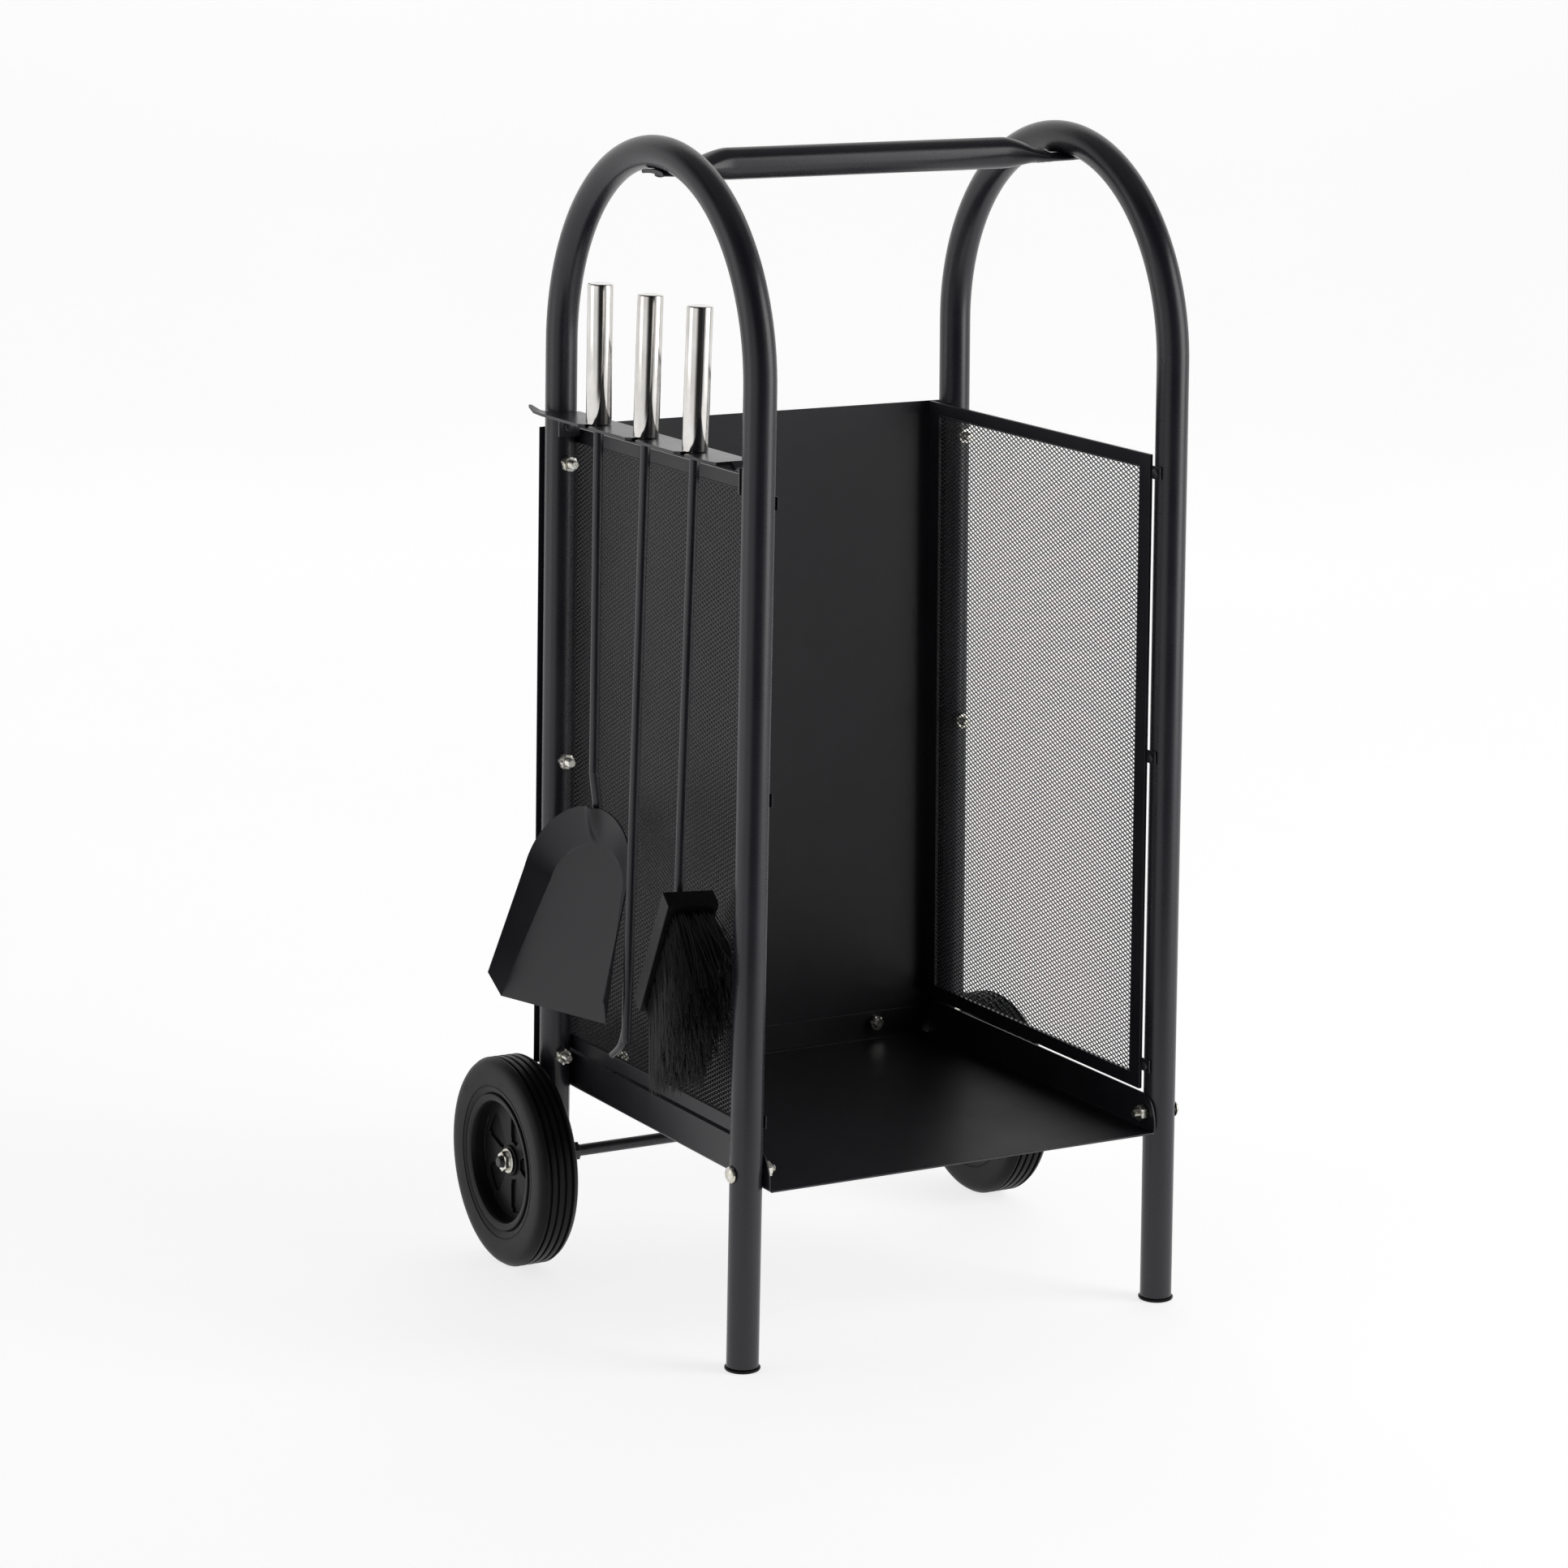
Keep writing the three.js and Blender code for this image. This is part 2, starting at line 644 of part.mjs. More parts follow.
// ---------- assembly ----------

// The same geometry on the other side of the rack.
function mirrored(geometry) {
  const copy = geometry.clone().scale(-1, 1, 1);
  const flat = copy.index ? copy.toNonIndexed() : copy;
  const spot = flat.attributes.position;
  for (let i = 0; i < spot.count; i += 3) {
    const [x, y, z] = [spot.getX(i), spot.getY(i), spot.getZ(i)];
    spot.setXYZ(i, spot.getX(i + 1), spot.getY(i + 1), spot.getZ(i + 1));
    spot.setXYZ(i + 1, x, y, z);
  }
  flat.computeVertexNormals();
  return flat;
}

// A geometry built along +Z, laid along X so that it points away from the middle on that side.
function outward(side, geometry) {
  const laid = along("x", geometry);
  return side > 0 ? laid : mirrored(laid);
}

function placed(mesh, x, y, z) {
  mesh.position.set(x, y, z);
  return mesh;
}

function hoopGroup(side) {
  const name = side < 0 ? "left" : "right";
  const forSide = (geometry) => (side > 0 ? geometry : mirrored(geometry));
  const tilted = new THREE.Group();
  tilted.position.set(side * hoopReach, 0, splayLevel);
  tilted.rotation.y = -side * splay;
  const hoop = new THREE.Group();
  hoop.position.z = -splayLevel;
  tilted.add(hoop);
  hoop.add(piece(name + "_hoop", forSide(hoopTube()), paint.frame));
  hoop.add(piece(name + "_panel_frame", forSide(sideBorder()), paint.sheet));
  hoop.add(piece(name + "_panel_mesh", forSide(sideMesh()), paint.mesh));

  const headFace = legBack + 2 * sheet + 3 * gap;
  const nutFace = legReach - tubeRadius - gap;
  const boltLength = headFace - nutFace + nutHeight + boltEnd;
  for (const [level, z] of Object.entries(backBoltLevels)) {
    const bolt = along("y", domedBolt(boltLength)).rotateZ(Math.PI);
    hoop.add(placed(piece(name + "_back_bolt_" + level, bolt, paint.zinc), 0, headFace, z));
    const nut = along("y", hexNut()).rotateZ(Math.PI);
    hoop.add(placed(piece(name + "_back_nut_" + level, nut, paint.zinc), 0, nutFace, z));
  }
  for (const [level, z] of Object.entries(sideScrewLevels)) {
    const screw = outward(side, domedBolt(7, sideScrewRadius, 3.2, 1.6));
    const face = side * (-sideOuterFace - sheet - gap);
    hoop.add(placed(piece(name + "_side_screw_" + level, screw, paint.blackScrew), face, -legReach, z));
  }
  return tilted;
}

function shelfFasteners(side) {
  const name = side < 0 ? "left" : "right";
  const group = new THREE.Group();
  const legFace = hoopXAt(shelfBoltLevel) + tubeRadius + gap;
  const nutFace = shelfHalfWidth - sheet - gap;
  const length = legFace - nutFace + nutHeight + 3.6;
  const bolt = outward(-side, domedBolt(length));
  group.add(placed(piece(name + "_shelf_front_bolt", bolt, paint.zinc),
    side * legFace, -legReach, shelfBoltLevel));
  const nut = outward(-side, hexNut());
  group.add(placed(piece(name + "_shelf_front_nut", nut, paint.zinc), side * nutFace, -legReach, shelfBoltLevel));

  const rear = legBack + 2 * sheet + 3 * gap;
  const inside = legBack;
  const rearBolt = along("y", domedBolt(rear - inside + nutHeight + 2)).rotateZ(Math.PI);
  group.add(placed(piece(name + "_shelf_rear_bolt", rearBolt, paint.zinc),
    side * shelfRearBoltX, rear, shelfBoltLevel));
  const rearNut = along("y", hexNut()).rotateZ(Math.PI);
  group.add(placed(piece(name + "_shelf_rear_nut", rearNut, paint.zinc),
    side * shelfRearBoltX, inside, shelfBoltLevel));
  return group;
}

function runningGear() {
  const group = new THREE.Group();
  group.position.set(0, legReach, wheelRadius);
  const axleHalf = overWheels / 2 - 1.5;
  group.add(piece("axle", bar("x", axleRadius, -axleHalf, axleHalf, [0, 0, 0], 20), paint.blackScrew));
  for (const side of [-1, 1]) {
    const name = side < 0 ? "left" : "right";
    group.add(placed(piece(name + "_tyre", outward(side, tyre()), paint.rubber), side * wheelX, 0, 0));
    group.add(placed(piece(name + "_wheel_centre", outward(side, wheelCentre()), paint.plastic),
      side * wheelX, 0, 0));
    const nutBase = wheelX + bossOut + gap;
    group.add(placed(piece(name + "_axle_nut", outward(side, axleNut()), paint.zinc), side * nutBase, 0, 0));
    const collarBase = hoopXAt(wheelRadius) - tubeRadius - gap;
    const collar = outward(-side, axleCollar());
    group.add(placed(piece(name + "_axle_collar", collar, paint.blackScrew), side * collarBase, 0, 0));
  }
  return group;
}

function barAndScrews() {
  const group = new THREE.Group();
  group.add(piece("carrying_bar", carryingBar(), paint.frame));
  const tongueUnderside = barLevel - tongueDrop - tongueHalfHeight;
  for (const side of [-1, 1]) {
    const name = side < 0 ? "left" : "right";
    const screw = piece(name + "_bar_screw", domedBolt(11, topScrewRadius, 4, 2), paint.blackScrew);
    group.add(placed(screw, side * hoopTopX, 0, tongueUnderside - gap));
  }
  return group;
}

function stripAndScrews() {
  const group = new THREE.Group();
  group.add(piece("tool_strip", toolStrip(), paint.frame));
  const legX = -hoopXAt(stripTop);
  const face = legReach - tubeRadius - gap - stripThickness - gap;
  const front = along("y", domedBolt(2.5, 2, 4.2, 1.8)).rotateZ(Math.PI);
  group.add(placed(piece("strip_screw_front", front, paint.blackScrew), legX, -face, stripTop - 12));
  const rear = along("y", domedBolt(2.5, 2, 4.2, 1.8));
  group.add(placed(piece("strip_screw_rear", rear, paint.blackScrew), legX, face, stripTop - 10));
  return group;
}

function tool(name, index, lean, parts) {
  const group = new THREE.Group();
  const rest = 0.7;
  group.position.set(toolX, toolYs[index], stripTop + rest);
  group.rotation.y = THREE.MathUtils.degToRad(lean);
  group.add(piece(name + "_grip", grip(), paint.steel));
  group.add(...parts);
  return group;
}

function shovel() {
  const { across, down, off } = panBasis();
  const pan = piece("shovel_pan", shovelPan(), paint.frame);
  pan.quaternion.setFromRotationMatrix(new THREE.Matrix4().makeBasis(across, down, off));
  pan.position.copy(panCorner);
  return tool("shovel", 0, 0.7, [piece("shovel_rod", shovelRod(), paint.frame), pan]);
}

function poker() {
  return tool("poker", 1, 1.8, [piece("poker_rod", pokerRod(), paint.frame)]);
}

function brush() {
  return tool("brush", 2, 1.9, [
    piece("brush_rod", brushRod(), paint.frame),
    piece("brush_board", brushBoard(), paint.plastic),
    piece("brush_bristles", bristles(), paint.bristle),
  ]);
}

// The origin is the middle of the whole box, on the floor; the shovel makes the left side the wider one.
const middleOfBox = { x: -11.36, y: 31.25 };

const group = new THREE.Group();
group.position.set(-middleOfBox.x, -middleOfBox.y, 0);
group.name = "firewood_log_rack";
group.add(hoopGroup(-1), hoopGroup(1), barAndScrews());
group.add(piece("back_panel", backPanel(), paint.sheet));
group.add(piece("shelf_tray", shelf(), paint.sheet));
group.add(shelfFasteners(-1), shelfFasteners(1));
for (const side of [-1, 1]) {
  const cap = piece((side < 0 ? "left" : "right") + "_foot_cap", footCap(), paint.plastic);
  group.add(placed(cap, side * hoopXAt(0), -legReach, 0));
}
group.add(runningGear(), stripAndScrews(), shovel(), poker(), brush());

export default group;
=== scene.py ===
import math
import random

import bmesh
import bpy
from mathutils import Matrix, Vector


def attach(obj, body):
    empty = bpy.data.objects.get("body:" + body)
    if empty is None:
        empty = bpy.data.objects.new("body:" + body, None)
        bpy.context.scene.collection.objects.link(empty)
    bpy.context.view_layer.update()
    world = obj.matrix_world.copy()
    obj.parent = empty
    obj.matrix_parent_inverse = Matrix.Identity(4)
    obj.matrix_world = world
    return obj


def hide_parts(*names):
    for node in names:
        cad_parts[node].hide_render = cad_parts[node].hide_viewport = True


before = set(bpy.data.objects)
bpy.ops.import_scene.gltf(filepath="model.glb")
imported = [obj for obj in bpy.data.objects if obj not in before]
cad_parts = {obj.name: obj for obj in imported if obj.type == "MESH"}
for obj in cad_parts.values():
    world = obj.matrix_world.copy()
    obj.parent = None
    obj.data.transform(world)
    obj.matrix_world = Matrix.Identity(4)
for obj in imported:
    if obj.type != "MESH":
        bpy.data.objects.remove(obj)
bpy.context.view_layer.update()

print("frame loaded:", len(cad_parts), "nodes")

random.seed(7)

# Everything below is in millimetres, with x = y = 0 midway between the hoops. shift moves it to the part's frame.
shift = Vector((11.36, -31.25, 0))
mm = 0.001
sides = {"left": -1, "right": 1}
splay = math.atan(4 / 400)  # each hoop leans in by 4 over 400
hoop = {"radius": 11.0, "wall": 1.2, "reach": 161.0, "leg": 141.5, "bend": 657.5, "level": 400.0, "frontEnd": 2.8,
        "rearEnd": 60.0, "heights": (640, 540, 400, 260, 120), "steps": 64, "sides": 40, "clear": 11.3}


def hoopX(z):
    return hoop["reach"] - (z - hoop["level"]) * math.tan(splay)


def tilted(side, x, y, z):
    # a point given in a hoop's own leaning plane, with x outwards from it, as a point of the rack
    turn = -side * splay
    lx, lz = side * x, z - hoop["level"]
    return Vector((
        side * hoop["reach"] + lx * math.cos(turn) + lz * math.sin(turn),
        y,
        hoop["level"] - lx * math.sin(turn) + lz * math.cos(turn),
    ))


def mix(a, b, t):
    return a + (b - a) * t


def smooth(t):
    t = max(0.0, min(1.0, t))
    return t * t * (3 - 2 * t)


class Signal:
    def __init__(self, shader, socket):
        self.shader = shader
        self.socket = socket

    def maths(self, kind, first, second):
        return self.shader.node("Math", {"operation": kind}, {0: first, 1: second})

    def __add__(self, other):
        return self.maths("ADD", self, other)

    def __radd__(self, other):
        return self.maths("ADD", other, self)

    def __sub__(self, other):
        return self.maths("SUBTRACT", self, other)

    def __rsub__(self, other):
        return self.maths("SUBTRACT", other, self)

    def __mul__(self, other):
        return self.maths("MULTIPLY", self, other)

    def __rmul__(self, other):
        return self.maths("MULTIPLY", other, self)

    def within(self, low, high):
        # 0 below low, 1 above high, smooth between
        settings = {"interpolation_type": "SMOOTHSTEP"}
        return self.shader.node("MapRange", settings, {"Value": self, "From Min": low, "From Max": high})


class Shader:
    def __init__(self, owner):
        self.owner = owner
        owner.use_nodes = True
        self.tree = owner.node_tree
        self.tree.nodes.clear()

    def node(self, kind, settings=None, inputs=None, output=0):
        made = self.tree.nodes.new("ShaderNode" + kind)
        for key, value in (settings or {}).items():
            setattr(made, key, value)
        for key, value in (inputs or {}).items():
            if isinstance(value, Signal):
                self.tree.links.new(value.socket, made.inputs[key])
            else:
                made.inputs[key].default_value = value
        return Signal(self, made.outputs[output]) if made.outputs else None

    def place(self, scale=(1, 1, 1)):
        spot = self.node("TexCoord", output="Object")
        return self.node("Mapping", None, {"Vector": spot, "Scale": scale})

    def noise(self, spot, scale, detail=4.0, rough=0.55):
        return self.node("TexNoise", None, {"Vector": spot, "Scale": scale, "Detail": detail, "Roughness": rough})

    def blend(self, amount, low, high):
        settings = {"data_type": "RGBA"}
        return self.node("Mix", settings, {0: amount, 6: (*low, 1), 7: (*high, 1)}, output=2)

    def bump(self, height, strength, distance):
        return self.node("Bump", None, {"Strength": strength, "Distance": distance, "Height": height})

    def done(self, **inputs):
        surface = self.node("BsdfPrincipled", None, {key.replace("_", " "): value for key, value in inputs.items()})
        self.node("OutputMaterial", None, {"Surface": surface})
        return self.owner


def coat(name, low, high, rough, grain=1.0, spec=0.5):
    # powder coat: fine orange peel, slow change of gloss, a few dusty patches and light rubs
    sh = Shader(bpy.data.materials.new(name))
    spot = sh.place()
    slow = sh.noise(spot, 18.0, 5.0)
    fine = sh.noise(spot, 900.0, 3.0)
    peel = sh.noise(spot, 420.0, 2.0)
    rub = sh.noise(sh.place((60, 60, 9)), 12.0, 6.0, 0.7).within(0.62, 0.74)
    speck = sh.node("TexVoronoi", None, {"Vector": spot, "Scale": 380.0})
    dust = (1 - speck.within(0.03, 0.09)) * slow.within(0.45, 0.6)
    color = sh.blend(slow.within(0.3, 0.7) * 0.7 + dust * 0.18 + rub * 0.12, low, high)
    gloss = rough + (slow - 0.5) * 0.16 + (fine - 0.5) * 0.1 - rub * 0.06
    height = peel * 0.7 + fine * 0.3
    normal = sh.bump(height, 0.35 * grain, 0.0003)
    return sh.done(Base_Color=color, Roughness=gloss, Metallic=0.0, Specular_IOR_Level=spec, Normal=normal)


def platedZinc(name):
    sh = Shader(bpy.data.materials.new(name))
    spot = sh.place()
    cloud = sh.noise(spot, 160.0, 5.0)
    brush = sh.noise(sh.place((300, 20, 300)), 6.0, 4.0)
    stain = sh.noise(spot, 420.0, 4.0).within(0.55, 0.72)
    color = sh.blend(cloud.within(0.35, 0.7), (0.62, 0.6, 0.52), (0.86, 0.85, 0.82))
    normal = sh.bump(brush + stain * 0.2, 0.25, 0.0002)
    return sh.done(Base_Color=color, Roughness=0.2 + cloud * 0.2 + stain * 0.1, Metallic=1.0, Normal=normal)


def blackMetal(name):
    sh = Shader(bpy.data.materials.new(name))
    spot = sh.place()
    cloud = sh.noise(spot, 240.0, 5.0)
    worn = sh.noise(spot, 700.0, 3.0).within(0.58, 0.7)
    color = sh.blend(cloud * 0.8 + worn * 0.25, (0.012, 0.012, 0.014), (0.06, 0.06, 0.065))
    normal = sh.bump(cloud, 0.25, 0.0002)
    return sh.done(Base_Color=color, Roughness=0.32 + cloud * 0.14, Metallic=0.4, Normal=normal)


def brushedSteel(name):
    # fine lines round the grip, faint long scratches and handling marks
    sh = Shader(bpy.data.materials.new(name))
    lines = sh.noise(sh.place((40, 40, 2600)), 4.0, 6.0, 0.7)
    marks = sh.noise(sh.place((25, 25, 12)), 3.0, 5.0)
    scratch = sh.noise(sh.place((900, 900, 14)), 2.0, 4.0).within(0.66, 0.72)
    color = sh.blend(marks.within(0.3, 0.75), (0.66, 0.64, 0.61), (0.84, 0.82, 0.79))
    gloss = 0.13 + (lines - 0.5) * 0.08 + (marks - 0.5) * 0.06 + scratch * 0.06
    normal = sh.bump(lines + scratch * 0.3, 0.05, 0.0002)
    return sh.done(Base_Color=color, Roughness=gloss, Metallic=1.0, Normal=normal)


def rubber(name):
    sh = Shader(bpy.data.materials.new(name))
    spot = sh.place()
    cloud = sh.noise(spot, 40.0, 6.0, 0.6)
    grain = sh.noise(spot, 1500.0, 3.0)
    dust = sh.noise(spot, 110.0, 6.0, 0.7).within(0.52, 0.74)
    color = sh.blend(cloud * 0.5 + dust * 0.4, (0.004, 0.004, 0.0045), (0.013, 0.0128, 0.0125))
    normal = sh.bump(grain * 0.6 + cloud * 0.4, 0.3, 0.0003)
    gloss = 0.34 + cloud * 0.14 + dust * 0.14
    return sh.done(Base_Color=color, Roughness=gloss, Specular_IOR_Level=0.12, Normal=normal)


def plastic(name, low=(0.004, 0.004, 0.0045), high=(0.012, 0.012, 0.013), rough=0.32):
    sh = Shader(bpy.data.materials.new(name))
    spot = sh.place()
    cloud = sh.noise(spot, 60.0, 5.0)
    grain = sh.node("TexVoronoi", None, {"Vector": spot, "Scale": 1400.0})
    scuff = sh.noise(sh.place((20, 300, 80)), 3.0, 5.0).within(0.6, 0.75)
    color = sh.blend(cloud * 0.8 + scuff * 0.2, low, high)
    normal = sh.bump(grain + cloud * 0.3, 0.18, 0.0002)
    gloss = rough + cloud * 0.14 - scuff * 0.05
    return sh.done(Base_Color=color, Roughness=gloss, Specular_IOR_Level=0.12, Normal=normal)


def hair(name):
    sh = Shader(bpy.data.materials.new(name))
    spot = sh.place()
    cloud = sh.noise(spot, 70.0, 4.0)
    strand = sh.noise(spot, 900.0, 3.0)
    # the lighter flecks along the bristles are painted glints on the black hair, with a little random tone; the same
    # noise also gives the bump
    color = sh.blend(strand.within(0.5, 0.75) * 0.8 + cloud * 0.2, (0.0015, 0.0015, 0.0018), (0.018, 0.017, 0.016))
    return sh.done(Base_Color=color, Roughness=0.24 + cloud * 0.16, Normal=sh.bump(strand, 0.3, 0.0002))


looks = {
    "frame_coat": coat("satin coat on tube", (0.0135, 0.0133, 0.0178), (0.0195, 0.0192, 0.025), 0.28, 0.3, 0.45),
    "sheet_coat": coat("satin coat on sheet", (0.0115, 0.0113, 0.0148), (0.0165, 0.0163, 0.0208), 0.38, 0.35, 0.4),
    "mesh_coat": coat("coat on mesh", (0.02, 0.02, 0.022), (0.045, 0.045, 0.048), 0.34, 0.6, 0.6),
    "zinc": platedZinc("bright zinc"),
    "black_fastener": blackMetal("black screw"),
    "steel": brushedSteel("brushed stainless"),
    "tyre": rubber("tyre rubber"),
    "black_plastic": plastic("black plastic"),
    "bristle": hair("black bristle"),
}
print("materials made:", len(looks))


def ringOf(points, bm):
    return [bm.verts.new(point) for point in points]


def loft(bm, rings, capStart=False, capEnd=False, closed=True):
    made = [ringOf(ring, bm) for ring in rings]
    for first, second in zip(made, made[1:]):
        count = len(first)
        for n in range(count if closed else count - 1):
            m = (n + 1) % count
            bm.faces.new((first[n], first[m], second[m], second[n]))
    if capStart:
        bm.faces.new(list(reversed(made[0])))
    if capEnd:
        bm.faces.new(made[-1])
    return made


def frameFor(direction, hint=None):
    direction = direction.normalized()
    if hint is None or abs(direction.dot(hint.normalized())) > 0.99:
        hint = Vector((0, 0, 1)) if abs(direction.z) < 0.9 else Vector((0, 1, 0))
    side = direction.cross(hint).normalized()
    return side, side.cross(direction).normalized()


def sweep(bm, path, radii, sides=24, hint=None, capStart=True, capEnd=True):
    # a round bar along a path; radii is one number or one per point
    if not isinstance(radii, (list, tuple)):
        radii = [radii] * len(path)
    rings = []
    across = None
    for n, point in enumerate(path):
        ahead = path[min(n + 1, len(path) - 1)] - path[max(n - 1, 0)]
        if across is None:
            across, up = frameFor(ahead, hint)
        else:
            across = (across - ahead.normalized() * across.dot(ahead.normalized())).normalized()
            up = across.cross(ahead.normalized())
        rings.append([
            point + across * math.cos(a) * radii[n] + up * math.sin(a) * radii[n]
            for a in [2 * math.pi * k / sides for k in range(sides)]
        ])
    return loft(bm, rings, capStart, capEnd)


def turned(bm, profile, at, axis, sides=32, closedProfile=False):
    # profile is (radius, height) pairs; a radius of 0 closes the end
    axis = Vector(axis).normalized()
    across, up = frameFor(axis)
    points = list(profile)
    capStart = not closedProfile and points[0][0] <= 1e-6
    capEnd = not closedProfile and points[-1][0] <= 1e-6
    if capStart:
        points = points[1:]
    if capEnd:
        points = points[:-1]
    if closedProfile:
        points = points + [points[0]]
    rings = [[
        Vector(at) + axis * height + (across * math.cos(a) + up * math.sin(a)) * radius
        for a in [2 * math.pi * k / sides for k in range(sides)]
    ] for radius, height in points]
    return loft(bm, rings, capStart, capEnd)


def bar(bm, low, high, place=None):
    x0, y0, z0 = low
    x1, y1, z1 = high
    corners = [Vector(c) for c in ((x0, y0, z0), (x1, y0, z0), (x1, y1, z0), (x0, y1, z0))]
    tops = [Vector((c.x, c.y, z1)) for c in corners]
    if place:
        corners, tops = [place(c) for c in corners], [place(c) for c in tops]
    made = [bm.verts.new(c) for c in corners + tops]
    for face in ((0, 3, 2, 1), (4, 5, 6, 7), (0, 1, 5, 4), (1, 2, 6, 5), (2, 3, 7, 6), (3, 0, 4, 7)):
        bm.faces.new([made[n] for n in face])


def hexNut(bm, at, axis, radius, height, bore, turn=0.0):
    # hexagon with rounded-off corners at both faces and an open bore
    axis = Vector(axis).normalized()
    across, up = frameFor(axis)
    sides = 48
    rings = []
    flat = radius * math.cos(math.pi / 6)
    for share, level in ((0.0, 0.0), (0.0, 0.0), (1.0, 0.09), (1.0, 0.91), (0.0, 1.0)):
        ring = []
        for k in range(sides):
            a = 2 * math.pi * k / sides
            hexed = flat / math.cos((a % (math.pi / 3)) - math.pi / 6)
            size = min(hexed, mix(flat * 0.985, radius * 1.01, share))
            radial = across * math.cos(a + turn) + up * math.sin(a + turn)
            ring.append(Vector(at) + axis * (height * level) + radial * size)
        rings.append(ring)

    def hole(level, size):
        return [Vector(at) + axis * (height * level) + (across * math.cos(a) + up * math.sin(a)) * size
                for a in [2 * math.pi * k / sides + turn for k in range(sides)]]
    rings = [hole(0.0, bore)] + rings[1:] + [hole(1.0, bore * 1.12), hole(0.93, bore), hole(0.0, bore)]
    loft(bm, rings)


def thread(length, radius, pitch=0.8, start=0.0):
    # profile of a threaded end with small ridges and a chamfered tip
    points = []
    count = max(1, int((length - start) / pitch))
    for n in range(count):
        points.append((radius - 0.28, start + n * pitch))
        points.append((radius, start + (n + 0.5) * pitch))
    points += [(radius - 0.6, length), (0, length)]
    return points


def dome(radius, height, steps=8):
    angles = [math.pi / 2 * n / steps for n in range(steps + 1)]
    return [(radius * math.sin(a), -height * math.cos(a)) for a in angles]


def made(name, bm, body, slot, nodes, bevel=0.0, angle=35, solid=0.0):
    bmesh.ops.recalc_face_normals(bm, faces=bm.faces)
    for vert in bm.verts:
        vert.co = (vert.co + shift) * mm
    mesh = bpy.data.meshes.new(name)
    bm.to_mesh(mesh)
    bm.free()
    mesh.shade_smooth()
    mesh.set_sharp_from_angle(angle=math.radians(angle))
    mesh.materials.append(looks[slot])
    piece = bpy.data.objects.new(name, mesh)
    bpy.context.scene.collection.objects.link(piece)
    if solid:
        thick = piece.modifiers.new("thickness", "SOLIDIFY")
        thick.thickness = solid * mm
        thick.offset = 0
    if bevel:
        edge = piece.modifiers.new("edges", "BEVEL")
        edge.width = bevel * mm
        edge.segments = 2
        edge.limit_method = "ANGLE"
        edge.angle_limit = math.radians(40)
        edge.harden_normals = True
    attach(piece, body)
    if nodes:
        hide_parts(*nodes)
    return piece


def hoopPath(side):
    points = [tilted(side, 0, -hoop["leg"], z) for z in (hoop["frontEnd"], 20, *reversed(hoop["heights"]))]
    for n in range(hoop["steps"] + 1):
        a = math.pi * (1 - n / hoop["steps"])
        points.append(tilted(side, 0, hoop["leg"] * math.cos(a), hoop["bend"] + hoop["leg"] * math.sin(a)))
    points += [tilted(side, 0, hoop["leg"], z) for z in (*hoop["heights"], hoop["rearEnd"])]
    return points


# a cap with a rounded rim and a plug that goes up into the tube
footCap = [(0, 0), (10.6, 0), (11.7, 0.5), (12.2, 1.3), (12.2, 2.2), (11.9, 2.5), (9.3, 2.5), (9.2, 18), (8.6, 20),
           (0, 20)]

for name, side in sides.items():
    bm = bmesh.new()
    path = hoopPath(side)
    outer = sweep(bm, path, hoop["radius"], hoop["sides"], Vector((1, 0, 0)), False, False)
    inner = sweep(bm, path, hoop["radius"] - hoop["wall"], hoop["sides"], Vector((1, 0, 0)), False, False)
    for n in (0, -1):
        for k in range(hoop["sides"]):
            m = (k + 1) % hoop["sides"]
            bm.faces.new((outer[n][k], outer[n][m], inner[n][m], inner[n][k]))
    made(name + "HoopTube", bm, "rack", "frame_coat", [name + "_hoop"], bevel=0.25, angle=60)

    bm = bmesh.new()
    turned(bm, footCap, (side * hoopX(0), -hoop["leg"], 0), (0, 0, 1), 40)
    made(name + "FootCap", bm, "rack", "black_plastic", [name + "_foot_cap"])
print("hoops and feet made")

bolt = {"radius": 3.0, "head": 6.0, "dome": 3.2, "pitch": 0.9, "seat": 155.4}
nut = {"radius": 5.8, "height": 5.0, "bore": 3.15}


def boltPiece(name, node, at, axis, plain, length, sides=28):
    # a domed head, a plain length and a threaded end
    bm = bmesh.new()
    profile = dome(bolt["head"], bolt["dome"]) + [(bolt["radius"], 0), (bolt["radius"], plain)]
    turned(bm, profile + thread(length, bolt["radius"], bolt["pitch"], plain), at, axis, sides)
    made(name, bm, "rack", "zinc", [node])


def nutPiece(name, node, at, axis, turn):
    bm = bmesh.new()
    hexNut(bm, at, axis, nut["radius"], nut["height"], nut["bore"], turn)
    made(name, bm, "rack", "zinc", [node])


def screwPiece(name, node, at, axis, head, shank, sides=24):
    # head and shank are (radius, length) pairs
    bm = bmesh.new()
    turned(bm, dome(*head) + [(shank[0], 0), shank, (0, shank[1])], at, axis, sides)
    made(name, bm, "rack", "black_fastener", [node])


carrying = {"radius": 10.75, "level": 789.6, "half": 163.0, "flatFrom": 106.0, "flatTo": 152.0, "width": 17.0,
            "thick": 1.4, "drop": 4.6, "bow": 1.6, "rounding": 10.0, "sides": 40}


